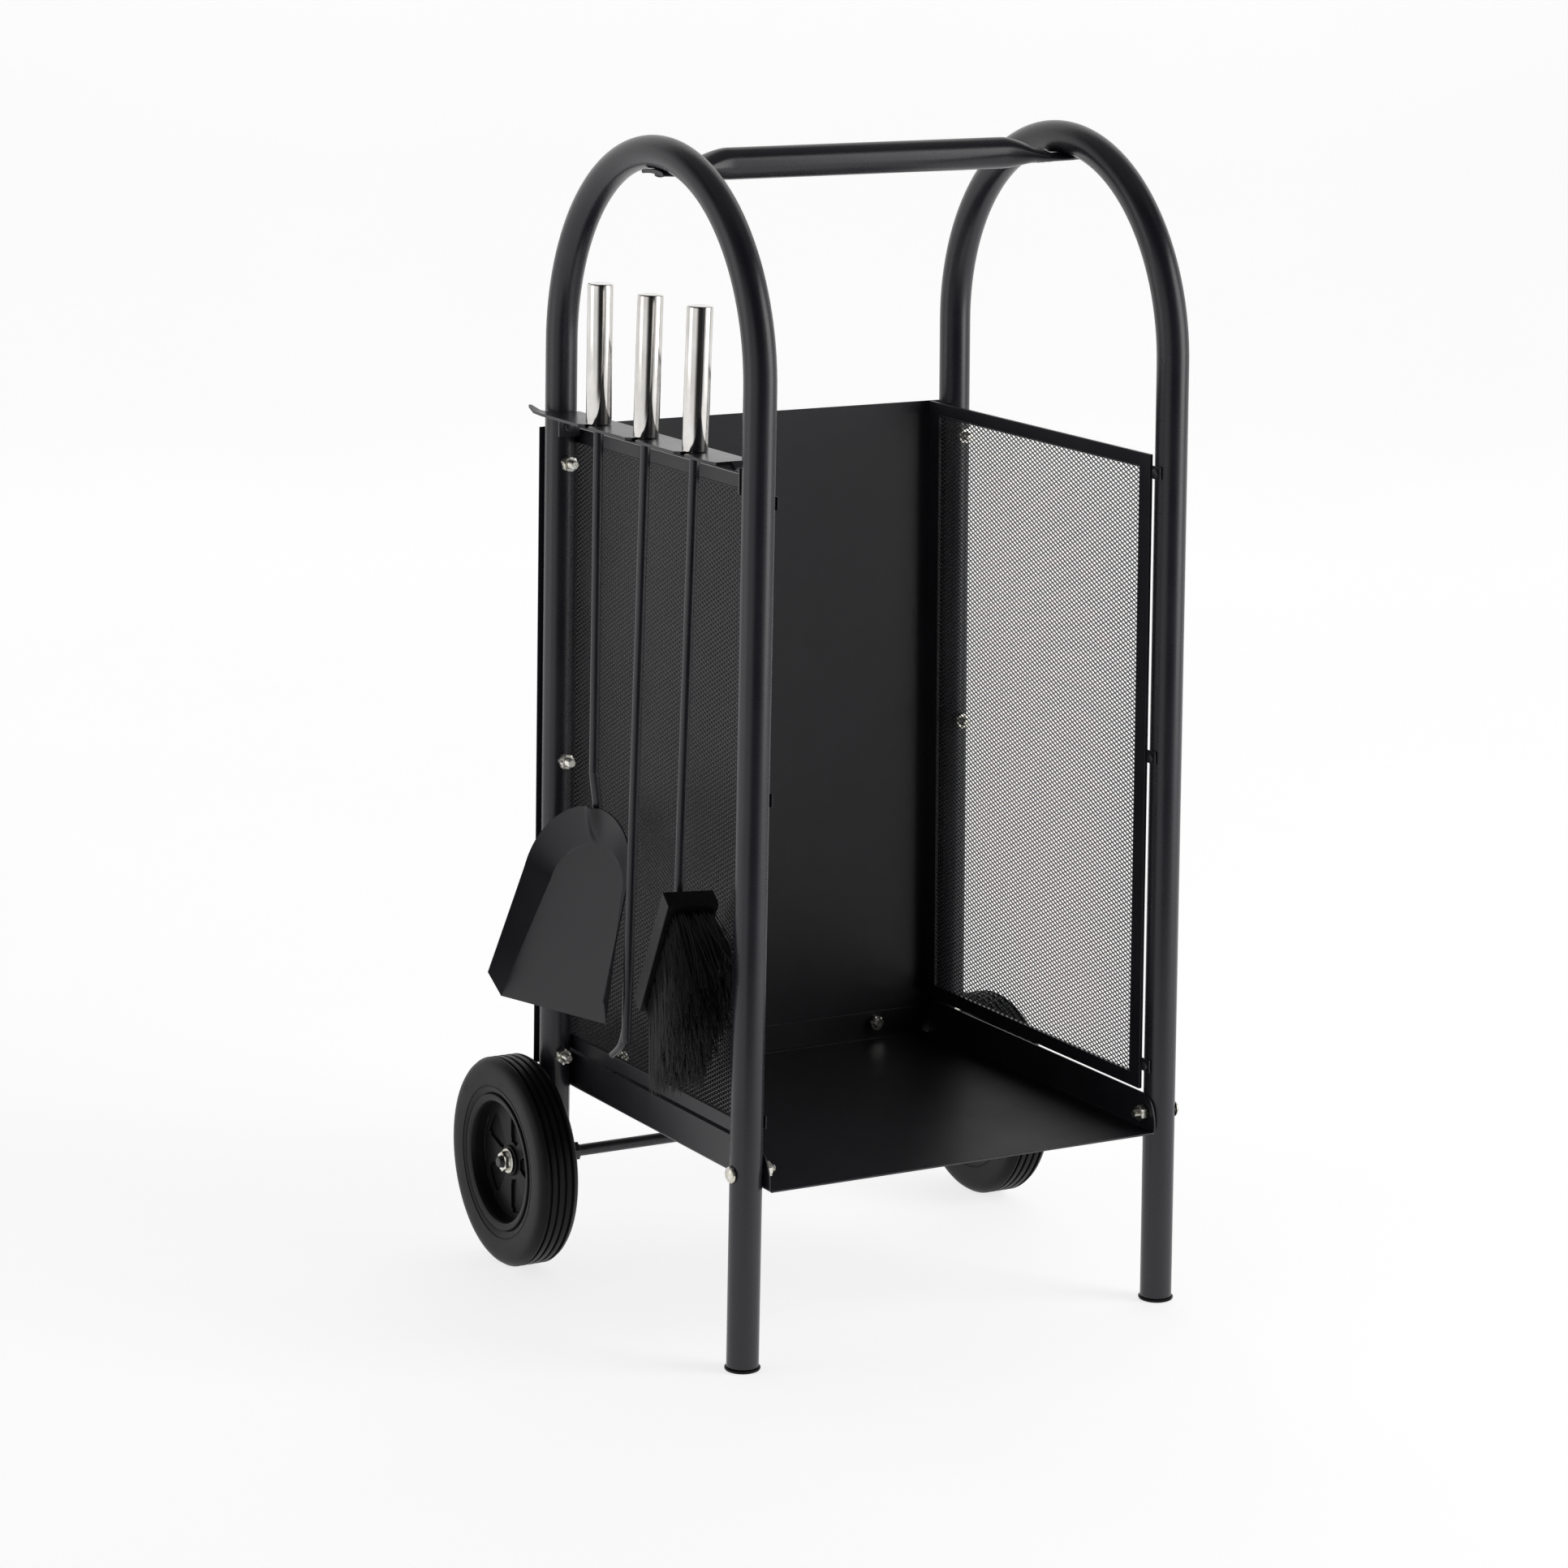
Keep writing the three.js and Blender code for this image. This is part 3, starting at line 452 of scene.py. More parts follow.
def barRing(x):
    # round in the middle, pressed at the ends to a flat slot section that bows up a little
    flat = smooth((abs(x) - carrying["flatFrom"]) / (carrying["flatTo"] - carrying["flatFrom"]))
    end = smooth((abs(x) - carrying["half"] + carrying["rounding"]) / carrying["rounding"])
    wide = mix(carrying["radius"], carrying["width"] * (1 - 0.1 * end), flat)
    tall = mix(carrying["radius"], carrying["thick"], flat)
    ring = []
    for k in range(carrying["sides"]):
        a = 2 * math.pi * k / carrying["sides"]
        y, rise = math.cos(a) * wide, math.sin(a)
        if flat > 0.5:
            rise = math.copysign(min(1.0, abs(rise) * mix(1, 2.2, (flat - 0.5) * 2)), rise)
        bow = flat * carrying["bow"] * (1 - (y / carrying["width"]) ** 2)
        ring.append(Vector((x, y, carrying["level"] - carrying["drop"] * flat + bow + rise * tall)))
    return ring


bm = bmesh.new()
stations = [run - carrying["half"] for run in (0, 0.6, 3, 7, 11, 14)]
stations += [n * 2 - 148 for n in range(24)] + [-90, -60, -30, 0]
stations = stations + [-x for x in reversed(stations[:-1])]
loft(bm, [barRing(x) for x in stations], True, True)
made("carryingBar", bm, "rack", "frame_coat", ["carrying_bar"], angle=50)
for name, side in sides.items():
    at = (side * hoopX(799), 0, 784.3)
    screwPiece(name + "BarScrew", name + "_bar_screw", at, (0, 0, 1), (4, 2), (2, 11), 28)
print("carrying bar made")

panel = {"top": 597.0, "bottom": 153.0, "front": -136.5, "rear": 140.5, "border": 12.0, "level": 9.0, "face": 11.3,
         "hem": 2.4, "flange": 22.0, "flangeY": 152.8, "flangeBottom": 141.0}
tab = {"front": -146.5, "half": 4.5, "lap": 2.0}
crease = {"inset": 0.4, "proud": 0.25, "half": 0.5}
screwLevels = {"upper": 585.0, "middle": 389.0, "lower": 171.0}
boltLevels = {"upper": 574.0, "middle": 364.0, "lower": 150.5}
mesh = {"long": 6.3, "short": 3.2, "wide": 0.72, "thick": 0.5, "tuck": 3.0, "offset": 0.12}
knot = {"half": 1.0, "deep": 0.32, "tall": 0.55, "tip": 0.2}


def meshStrands(bm, side):
    # expanded metal: two families of slanted strands with a small knot where they cross
    y0, y1 = panel["front"] + panel["border"] - mesh["tuck"], panel["rear"] + mesh["tuck"]
    z0, z1 = panel["bottom"] + panel["level"] - mesh["tuck"], panel["top"] - panel["level"] + mesh["tuck"]
    x = -(panel["face"] + panel["hem"] / 2)
    slope = mesh["short"] / mesh["long"]
    length = math.hypot(mesh["long"], mesh["short"])
    w, t = mesh["wide"] / 2, mesh["thick"] / 2
    # each strand is a flat strip that leans, like slit and stretched sheet
    corners = [(-t, -w), (t * 0.3, -w), (t, w), (-t * 0.3, w)]
    for family in (-1, 1):
        run = family * slope
        acrossY, acrossZ = -family * mesh["short"] / length, mesh["long"] / length
        first = int((z0 - slope * (y1 - y0)) / mesh["short"]) - 1
        last = int((z1 + slope * (y1 - y0)) / mesh["short"]) + 1
        for k in range(first, last):
            # the strand's line, z = base + run * (y - y0), is cut to the window
            base = k * mesh["short"]
            lowY, highY = y0 + (z0 - base) / run, y0 + (z1 - base) / run
            ya, yb = max(y0, min(lowY, highY)), min(y1, max(lowY, highY))
            if yb - ya < 2:
                continue
            rings = []
            for y in (ya, yb):
                z = base + run * (y - y0)
                rings.append([tilted(side, x + deep + family * mesh["offset"], y + acrossY * wide, z + acrossZ * wide)
                              for deep, wide in corners])
            loft(bm, rings, True, True)
    rows = int((z1 - z0) / mesh["short"] * 2) + 2
    columns = int((y1 - y0) / mesh["long"]) + 2
    for row in range(rows):
        z = (int(z0 / mesh["short"]) + 1) * mesh["short"] + row * mesh["short"] / 2
        if z > z1 - 0.5:
            break
        for column in range(columns):
            y = y0 + (column + (row % 2) / 2) * mesh["long"]
            if y > y1 - 0.5:
                break
            rings = []
            for dy, tall in ((-knot["half"], knot["tip"]), (0, knot["tall"]), (knot["half"], knot["tip"])):
                rings.append([tilted(side, x + math.cos(a) * knot["deep"], y + dy, z + math.sin(a) * tall)
                              for a in (0.4, 1.97, 3.54, 5.11)])
            loft(bm, rings, True, True)


def panelFrame(bm, side):
    face, hem = panel["face"], panel["hem"]

    def place(v):
        return tilted(side, v.x, v.y, v.z)

    y0, y1, z0, z1 = panel["front"], panel["flangeY"] + 1, panel["bottom"], panel["top"]
    wy0, wy1 = y0 + panel["border"], panel["rear"]
    wz0, wz1 = z0 + panel["level"], z1 - panel["level"]
    outer = [(y0, z0), (y1, z0), (y1, z1), (y0, z1)]
    window = [(wy0, wz0), (wy1, wz0), (wy1, wz1), (wy0, wz1)]
    layers = []
    for x in (-face - hem, -face):
        layers.append([[bm.verts.new(place(Vector((x, y, z)))) for y, z in loop] for loop in (outer, window)])
    for n in range(4):
        m = (n + 1) % 4
        for x in (0, 1):
            o, w = layers[x]
            bm.faces.new((o[n], o[m], w[m], w[n]))
        for loop in (0, 1):
            a, b = layers[0][loop], layers[1][loop]
            bm.faces.new((a[n], a[m], b[m], b[n]))
    flangeEnd = (-face + panel["flange"], panel["flangeY"] + 1, z1)
    bar(bm, (-face - 1, panel["flangeY"], panel["flangeBottom"]), flangeEnd, place)
    for level in screwLevels.values():
        bar(bm, (-face - 1, tab["front"], level - tab["half"]), (-face, y0 + tab["lap"], level + tab["half"]), place)
    # pressed line where the border is folded over the mesh
    back, near = -face - hem - crease["proud"], -face + crease["proud"]
    for y in (wy0 + crease["inset"], wy1 - crease["inset"]):
        bar(bm, (back, y - crease["half"], wz0), (near, y + crease["half"], wz1), place)
    for z in (wz0 + crease["inset"], wz1 - crease["inset"]):
        bar(bm, (back, wy0, z - crease["half"]), (near, wy1, z + crease["half"]), place)


for name, side in sides.items():
    bm = bmesh.new()
    panelFrame(bm, side)
    made(name + "PanelFrame", bm, "rack", "sheet_coat", [name + "_panel_frame"], bevel=0.35)
    bm = bmesh.new()
    meshStrands(bm, side)
    made(name + "PanelMesh", bm, "rack", "mesh_coat", [name + "_panel_mesh"])
    for level, z in screwLevels.items():
        at = tilted(side, -12.6, -hoop["leg"], z)
        axis = tilted(side, 0, -hoop["leg"], z) - at
        screwPiece(name + "SideScrew." + level, name + "_side_screw_" + level, at, axis, (3.2, 1.6), (1.5, 7))
    for level, z in boltLevels.items():
        at = tilted(side, 0, bolt["seat"], z)
        boltPiece(name + "BackBolt." + level, name + "_back_bolt_" + level, at, (0, -1, 0), 24, 36.7)
        at = tilted(side, 0, 130.2, z)
        nutPiece(name + "BackNut." + level, name + "_back_nut_" + level, at, (0, -1, 0), random.uniform(0, 1))
print("side panels made")

backSheet = {"half": 166.0, "bottom": 124.0, "top": 597.0, "front": 154.1, "rear": 155.1}
bm = bmesh.new()
bar(bm, (-backSheet["half"], backSheet["front"], backSheet["bottom"]),
    (backSheet["half"], backSheet["rear"], backSheet["top"]))
made("backPanelSheet", bm, "rack", "sheet_coat", ["back_panel"], bevel=0.3)

tray = {"floor": 125.0, "sheet": 1.1, "front": -154.0, "half": 152.2, "flange": 25.5, "rearFlange": 20.0,
        "rearHalf": 148.0, "rear": 153.8, "bend": 2.0, "noseRise": 3.2, "noseRun": 14.0}
shelfBolts = {"level": 137.0, "nutX": 150.9, "rearX": 106.0, "rearNutY": 152.5}
half, low, t = tray["half"], tray["floor"], tray["sheet"]


def uSection(y, top):
    # one section across the width, with small bend radii
    bend = tray["bend"]

    def corner(side):
        angles = [math.pi / 2 * n / 6 for n in range(7)]
        return [Vector((side * (half - bend + bend * math.cos(a)), y, low + bend - bend * math.sin(a)))
                for a in angles]

    return [Vector((half, y, top))] + corner(1) + corner(-1)[::-1] + [Vector((-half, y, top))]


def flangeTop(run):
    # the top front corner of each side flange is one long round
    left = max(0.0, 1 - run / tray["noseRun"])
    return low + mix(tray["noseRise"], tray["flange"], math.sqrt(1 - left ** 2))


bm = bmesh.new()
runs = [0, 0.15, 0.5, 1, 1.8, 3, 4.5, 6.5, 9, 11.5, 14, 60, 150, 240, 302.8]
loft(bm, [uSection(tray["front"] + run, flangeTop(run)) for run in runs], closed=False)
made("shelfTray", bm, "rack", "sheet_coat", ["shelf_tray"], solid=t, bevel=0.25)
bm = bmesh.new()
bar(bm, (-tray["rearHalf"], tray["rear"] - 6, low), (tray["rearHalf"], tray["rear"], low + t))
bar(bm, (-tray["rearHalf"], tray["rear"] - t, low), (tray["rearHalf"], tray["rear"], low + tray["rearFlange"]))
made("shelfRearFlange", bm, "rack", "sheet_coat", None, bevel=0.35)
bm = bmesh.new()
sweep(bm, [Vector((-half + 1, tray["front"], low + 0.1)), Vector((half - 1, tray["front"], low + 0.1))], 0.75, 12)
made("shelfFrontHem", bm, "rack", "frame_coat", None)

for name, side in sides.items():
    level, inwards = shelfBolts["level"], (-side, 0, 0)
    at = (side * (hoopX(level) + hoop["clear"]), -hoop["leg"], level)
    boltPiece(name + "ShelfFrontBolt", name + "_shelf_front_bolt", at, inwards, 24, 32.6, 32)
    at = (side * shelfBolts["nutX"], -hoop["leg"], level)
    nutPiece(name + "ShelfFrontNut", name + "_shelf_front_nut", at, inwards, 0.4)
    at = (side * shelfBolts["rearX"], bolt["seat"], level)
    boltPiece(name + "ShelfRearBolt", name + "_shelf_rear_bolt", at, (0, -1, 0), 4, 9.9)
    at = (side * shelfBolts["rearX"], shelfBolts["rearNutY"], level)
    nutPiece(name + "ShelfRearNut", name + "_shelf_rear_nut", at, (0, -1, 0), 0.2)
print("back panel and shelf made")

wheel = {"x": 195.0, "level": 75.0, "pockets": 5, "pocketFrom": 14, "pocketTo": 38, "halfAngle": 17,
         "endHalfAngle": 14.5}


def tyreProfile():
    # one flank with its bead line, four grooves in the tread, and the other flank
    flank = [(49.2, -12.6), (50.5, -13.4), (52, -14), (54, -14.3), (54.4, -13.9), (55, -13.9), (55.4, -14.5),
             (60, -14.8), (66, -15), (69.5, -14.8), (72, -13.9), (73.6, -12.4), (74.4, -11)]
    groove = [(75.0, -1.9), (74.9, -1.1), (73.2, -0.75), (73.0, 0), (73.2, 0.75), (74.9, 1.1), (75.0, 1.9)]
    tread = [(radius, level + run) for level in (-8.2, -2.8, 2.8, 8.2) for radius, run in groove]
    return flank + tread + [(radius, -run) for radius, run in reversed(flank)]


def hubDisc(bm, at, out):
    # the disc between boss and rim, open in five places, with the openings' walls
    axis = Vector(out)
    across, up = Vector((0, -1, 0)), Vector((0, 0, 1))
    radii = [11, 14, 17, 20, 24, 28, 32, 35, 38, 41, 43.8]
    steps = 120
    levels = (0.0, 3.0)
    share = 360 / wheel["pockets"]

    def isOpen(ring, step):
        middle = (radii[ring] + radii[ring + 1]) / 2
        a = (step + 0.5) / steps * 360 % share
        limit = wheel["halfAngle"] if 17 < middle < 35 else wheel["endHalfAngle"]
        return wheel["pocketFrom"] < middle < wheel["pocketTo"] and min(a, share - a) < limit

    angles = [2 * math.pi * s / steps for s in range(steps)]
    low, high = [[[bm.verts.new(Vector(at) + axis * level + (across * math.cos(a) + up * math.sin(a)) * r)
                   for a in angles] for r in radii] for level in levels]
    for ring in range(len(radii) - 1):
        for s in range(steps):
            n = (s + 1) % steps
            if isOpen(ring, s):
                continue
            for face in (low, high):
                bm.faces.new((face[ring][s], face[ring][n], face[ring + 1][n], face[ring + 1][s]))
            for beside, k in (((s - 1) % steps, s), ((s + 1) % steps, n)):
                if isOpen(ring, beside):
                    bm.faces.new((low[ring][k], low[ring + 1][k], high[ring + 1][k], high[ring][k]))
            if ring > 0 and isOpen(ring - 1, s):
                bm.faces.new((low[ring][s], low[ring][n], high[ring][n], high[ring][s]))
            if ring + 2 < len(radii) and isOpen(ring + 1, s):
                bm.faces.new((low[ring + 1][s], low[ring + 1][n], high[ring + 1][n], high[ring + 1][s]))


# profiles of the wheel centre and what holds it, as (radius, distance outwards)
web = [(10.6, 0.1), (43.7, 0.1), (43.7, 1), (10.6, 1)]  # thin, and closes the five pockets at the back
boss = [(4.5, -19.1), (10.6, -19.1), (11, -18.6), (11, 4.4), (10.3, 5), (5.4, 5), (4.5, 4.4)]
rimBand = [(43.6, -12.6), (44, -13), (48.8, -13), (49, -12.6), (49, 13.6), (48.7, 14.3), (48, 14.4), (44.2, 13.4),
           (43.6, 12.6), (43.2, 9), (42.6, 3.4), (42, 3), (42, 0), (43.6, -0.4)]
washer = [(4.6, 0), (8.8, 0), (9, 0.3), (9, 1), (8.7, 1.3), (4.6, 1.3)]
collar = [(4.6, 0), (8, 0), (8.2, 0.3), (8.2, 1.7), (8, 2), (4.6, 2)]

for name, side in sides.items():
    at = Vector((side * wheel["x"], hoop["leg"], wheel["level"]))
    out = Vector((side, 0, 0))
    bm = bmesh.new()
    turned(bm, tyreProfile(), at, out, 128, closedProfile=True)
    made(name + "Tyre", bm, name + "_wheel", "tyre", [name + "_tyre"], angle=40)
    bm = bmesh.new()
    hubDisc(bm, at, out)
    for profile, count in ((web, 96), (boss, 48), (rimBand, 128)):
        turned(bm, profile, at, out, count, closedProfile=True)
    made(name + "WheelCentre", bm, name + "_wheel", "black_plastic", [name + "_wheel_centre"], bevel=0.4)
    bm = bmesh.new()
    nutAt = at + out * 5.3
    turned(bm, washer, nutAt, out, 48, closedProfile=True)
    hexNut(bm, nutAt + out * 1.2, out, 7.4, 4.2, 4.4, 0.5)
    made(name + "AxleNut", bm, "rack", "zinc", [name + "_axle_nut"], angle=30)
    bm = bmesh.new()
    collarAt = Vector((side * (hoopX(wheel["level"]) - hoop["clear"]), hoop["leg"], wheel["level"]))
    turned(bm, collar, collarAt, -out, 40, closedProfile=True)
    hexNut(bm, collarAt - out * 1.9, -out, 7.2, 5.6, 4.4, 0.3)
    made(name + "AxleCollar", bm, "rack", "black_fastener", [name + "_axle_collar"], angle=30)

# a rod with short threads at both ends
bm = bmesh.new()
axleProfile = [(0, -208.5), (3.4, -208.5), (4.2, -207.6)]
axleProfile += [(4.2 if n % 2 else 3.9, -207.2 + n * 0.5) for n in range(16)]
axleProfile += [(4.2, -198), (4.2, 198)]
axleProfile += [(3.9 if n % 2 else 4.2, 199.2 + n * 0.5) for n in range(16)]
axleProfile += [(4.2, 207.6), (3.4, 208.5), (0, 208.5)]
turned(bm, axleProfile, (0, hoop["leg"], wheel["level"]), (1, 0, 0), 32)
made("axleRod", bm, "rack", "black_fastener", ["axle"], angle=30)
print("wheels made")

tools = {"shovel": {"y": 66.6, "lean": 0.7}, "poker": {"y": -2.4, "lean": 1.8}, "brush": {"y": -71.4, "lean": 1.9}}
strip = {"top": 610.0, "thick": 2.0, "outer": -180.0, "inner": -151.0, "front": -119.0, "rear": 129.7, "slot": 4.0,
         "toolX": -168.0, "curl": 3.4}
bm = bmesh.new()
legX = -hoopX(610)
outline = [(strip["inner"], strip["rear"]), (legX - 12, strip["rear"]), (-174.5, 142), (-176.8, 151), (-178, 152.2),
           (-179, 151.4), (-180.2, 142), (strip["outer"], strip["rear"])]
for y in [tool["y"] for tool in tools.values()]:
    # an open slot with flared lips and a round end
    outline += [(strip["outer"], y + 7.5), (strip["outer"] + 2.6, y + 5.2), (strip["outer"] + 3.4, y + strip["slot"])]
    for n in range(13):
        a = math.pi / 2 - math.pi * n / 12
        outline.append((strip["toolX"] + strip["slot"] * math.cos(a), y + strip["slot"] * math.sin(a)))
    outline += [(strip["outer"] + 3.4, y - strip["slot"]), (strip["outer"] + 2.6, y - 5.2), (strip["outer"], y - 7.5)]
outline += [(strip["outer"], strip["front"] + 6), (strip["outer"] + 2, strip["front"]), (legX - 8, strip["front"]),
            (legX - 7.5, -123.5), (legX - 7.5, -130.0), (legX + 7, -130.0), (legX + 7, -123.5),
            (strip["inner"], strip["front"])]


def stripRise(y):
    # the tongue at the rear curls up and the ear at the front is pressed down
    if y > 140:
        return strip["curl"] * smooth((y - 138) / 14)
    if y < strip["front"]:
        return -strip["curl"] * smooth((strip["front"] - y) / 4.5)
    return 0.0


low = [bm.verts.new((x, y, strip["top"] - strip["thick"] + stripRise(y))) for x, y in outline]
high = [bm.verts.new((x, y, strip["top"] + stripRise(y))) for x, y in outline]
bm.faces.new(low)
bm.faces.new(list(reversed(high)))
for n in range(len(low)):
    m = (n + 1) % len(low)
    bm.faces.new((low[n], high[n], high[m], low[m]))
bmesh.ops.triangulate(bm, faces=[f for f in bm.faces if len(f.verts) > 4])
bar(bm, (legX - 8, -130.2, 589.6), (legX + 8, -128.2, 606.6))
bar(bm, (legX - 8, 128.2, 593), (legX + 8, 130.2, 608.4))
made("toolStripPlate", bm, "rack", "frame_coat", ["tool_strip"], bevel=0.35)
screwPiece("stripScrewFront", "strip_screw_front", (legX, -127.9, 598), (0, -1, 0), (4.2, 1.8), (2, 2.5))
screwPiece("stripScrewRear", "strip_screw_rear", (legX, 127.9, 600), (0, 1, 0), (4.2, 1.8), (2, 2.5))
print("tool strip made")

rod = 3.4


def toolPlace(name):
    # from the tool's own frame (z = 0 where the grip stands) to rack coordinates
    turn = Matrix.Rotation(math.radians(tools[name]["lean"]), 4, "Y")
    return Matrix.Translation((strip["toolX"], tools[name]["y"], 610.7)) @ turn


def moveAll(bm, matrix):
    bmesh.ops.transform(bm, matrix=matrix, verts=bm.verts)


def curveThrough(points, per=8):
    path = []
    for n in range(len(points) - 1):
        p0, p1 = points[max(n - 1, 0)], points[n]
        p2, p3 = points[n + 1], points[min(n + 2, len(points) - 1)]
        for k in range(per):
            t = k / per
            path.append(0.5 * ((2 * p1) + (p2 - p0) * t + (2 * p0 - 5 * p1 + 4 * p2 - p3) * t * t
                               + (3 * p1 - p0 - 3 * p2 + p3) * t ** 3))
    path.append(points[-1])
    return path


# a steel sleeve, closed at the top and open at its foot, with small rounds on both rims
gripProfile = [(0, 93), (6.4, 93), (7.75, 90), (7.75, 0.3), (8.0, 0), (8.5, 0), (8.75, 0.35), (8.75, 93.6),
               (8.6, 94.4), (8.1, 94.9), (7.4, 95), (0, 95)]
for name in tools:
    bm = bmesh.new()
    turned(bm, gripProfile, (0, 0, 0), (0, 0, 1), 56)
    moveAll(bm, toolPlace(name))
    made(name + "Grip", bm, name, "steel", [name + "_grip"], angle=40)

panTurn, panLean = math.radians(72.7), math.radians(20.7)
panOff = Vector((-math.sin(panTurn) * math.cos(panLean), -math.cos(panTurn) * math.cos(panLean), math.sin(panLean)))
panAcross = Vector((-math.cos(panTurn), math.sin(panTurn), 0))
panDown = panOff.cross(panAcross)
panCorner = Vector((12.6, 3.2, -269.8))  # the pan's zero in the tool's frame


def rodPiece(name, points, radii=None):
    bm = bmesh.new()
    path = curveThrough(points)
    sweep(bm, path, radii(path) if radii else rod, 28, Vector((0, 1, 0)))
    turned(bm, [(0, 1), (7.45, 1), (7.45, 14), (0, 14)], (0, 0, 0), (0, 0, 1), 32)
    moveAll(bm, toolPlace(name))
    made(name + "Rod", bm, name, "frame_coat", [name + "_rod"], angle=50)


# the shovel's rod bends in a little and lies behind the pan's back wall
rodPiece("shovel", [Vector((0, 0, 40)), Vector((0, 0, -100)), Vector((0, 0, -226)), Vector((0.3, 0, -244)),
                    Vector((3.6, 1.0, -266)), Vector((6.3, 2.2, -292))])

# pan: strips across the floor, a rounded foot to the wall, the wall and its rim
pan = {"length": 143.2, "wall": 13.2, "rimEnd": 129.8, "press": 4.6, "pressHalf": 4.4}


def panOutline(rise, level, bottom, steps=72, lipSteps=14):
    top = mix(25.9, 0.8, rise)
    shoulder = mix(56, 51, rise)
    upper = mix(35, 50.2, rise)
    lower = mix(51.7, 57.2, rise)
    left, arc, right = [], [], []
    for n in range(lipSteps):
        t = n / lipSteps
        left.append((-mix(lower, upper, t), mix(bottom, shoulder, t), level))
        right.append((mix(upper, lower, t + 1 / lipSteps), mix(shoulder, bottom, t + 1 / lipSteps), level))
    for n in range(steps + 1):
        a = math.pi * (1 - n / steps)
        arc.append((upper * math.cos(a), shoulder - (shoulder - top) * math.sin(a), level))
    return left + arc + right


def panPoint(s, t, q):
    return panCorner + panOff * q + panAcross * s + panDown * t


def creased(row, share):
    # the back wall is pressed out round the end of the rod; the crease fades towards the floor
    out = []
    for s, t, q in row:
        nearRod = math.exp(-(s / pan["pressHalf"]) ** 2) if t < 40 else 0
        lift = pan["press"] * nearRod * smooth(share * 1.5)
        out.append((s, t + lift * 0.45, q + lift * 0.9))
    return out


bm = bmesh.new()
floorLine = panOutline(0.0, 0.0, pan["length"])
rim = panOutline(1.0, pan["wall"], pan["rimEnd"])
rows = [floorLine]
for share in (0.05, 0.12, 0.25, 0.4, 0.55, 0.7, 0.85, 0.96, 1.0):
    low = [tuple(mix(a, b, share) for a, b in zip(p, q)) for p, q in zip(floorLine, rim)]
    rows.append(creased(low, share))
verts = [[bm.verts.new(panPoint(*p)) for p in row] for row in rows]
for first, second in zip(verts, verts[1:]):
    for n in range(len(first) - 1):
        bm.faces.new((first[n], first[n + 1], second[n + 1], second[n]))
count = len(floorLine)
across = 16
strips = []
for n in range(count // 2):
    a, b = floorLine[n], floorLine[count - 1 - n]
    inner = []
    for k in range(1, across):
        s, t = mix(a[0], b[0], k / across), mix(a[1], b[1], k / across)
        inner.append(bm.verts.new(panPoint(s, t, 0)))
    strips.append([verts[0][n]] + inner + [verts[0][count - 1 - n]])
for first, second in zip(strips, strips[1:]):
    for n in range(across):
        bm.faces.new((first[n], first[n + 1], second[n + 1], second[n]))
last = strips[-1]
middle = verts[0][count // 2]
for n in range(across):
    bm.faces.new((last[n], last[n + 1], middle))
moveAll(bm, toolPlace("shovel"))
made("shovelPan", bm, "shovel", "sheet_coat", ["shovel_pan"], angle=32, solid=1.1, bevel=0.3)


def hookRadii(path):
    return [rod * (1 - 0.3 * smooth((-412 - p.z) / 18)) for p in path]


rodPiece("poker", [Vector((0, 0, 40)), Vector((0, 0, -160)), Vector((0, 0, -396)), Vector((0, 0.6, -408)),
                   Vector((0, 6.5, -420)), Vector((0, 20, -430))], hookRadii)

rodPiece("brush", [Vector((0, 0, 40)), Vector((0, 0, -120)), Vector((0, 0, -322))])

board = {"width": 36.0, "thick": 14.0, "length": 97.0, "turn": -8.0, "lean": 30.0, "top": (-1.2, -23.5, -300)}
boardPlace = (Matrix.Translation(board["top"]) @ Matrix.Rotation(math.radians(board["turn"]), 4, "Z")
              @ Matrix.Rotation(math.radians(board["lean"]), 4, "X"))
bm = bmesh.new()
bar(bm, (-board["width"] / 2, 0, -board["length"]), (board["width"] / 2, board["thick"], 0))
moveAll(bm, toolPlace("brush") @ boardPlace)
made("brushBoard", bm, "brush", "black_plastic", ["brush_board"], bevel=0.7)

# each bristle leaves the board's front square on and droops, the lower ones most; they splay at the tips
bristles = {"count": 2300, "length": 66.0, "thick": 0.42, "steps": 7, "legX": -177.5, "legY": -126.0}
brushAt = toolPlace("brush") @ boardPlace
fall = (brushAt.to_3x3().inverted() @ Vector((0, 0, -1))).normalized()
bm = bmesh.new()
for n in range(bristles["count"]):
    u, v = random.uniform(-1, 1), random.random() ** 0.9
    root = Vector((u * (board["width"] / 2 - 3.5), 0.4, -4 - v * (board["length"] - 9)))
    start = Vector((u * 0.1 + random.gauss(0, 0.05), -1, random.gauss(0, 0.05))).normalized()
    end = Vector((u * 0.22 + random.gauss(0, 0.13), -1, random.gauss(0, 0.12))).normalized()
    droop = mix(0.1, 0.86, v ** 0.8) + random.gauss(0, 0.05)
    length = bristles["length"] * random.uniform(0.82, 1.06) * mix(0.95, 0.98, v)
    path, spot, steps = [], root.copy(), bristles["steps"]
    for k in range(steps + 1):
        path.append(spot.copy())
        share = (k + 0.5) / steps
        way = start.lerp(end, share).lerp(fall, max(0.0, min(1.0, droop * smooth(share * 1.7) + 0.12 * share)))
        spot = spot + way.normalized() * length / steps
    turnedPath = []
    for point in path:
        point = brushAt @ point
        # the tips next to the front leg are bent aside by it
        if point.x > bristles["legX"] and point.y < bristles["legY"]:
            point.y = bristles["legY"] + (point.y - bristles["legY"]) * 0.12
        turnedPath.append(point)
    sweep(bm, turnedPath, [bristles["thick"] * (1 - 0.5 * k / steps) for k in range(steps + 1)], 3)
made("brushBristles", bm, "brush", "bristle", ["brush_bristles"], angle=80)
print("tools made")


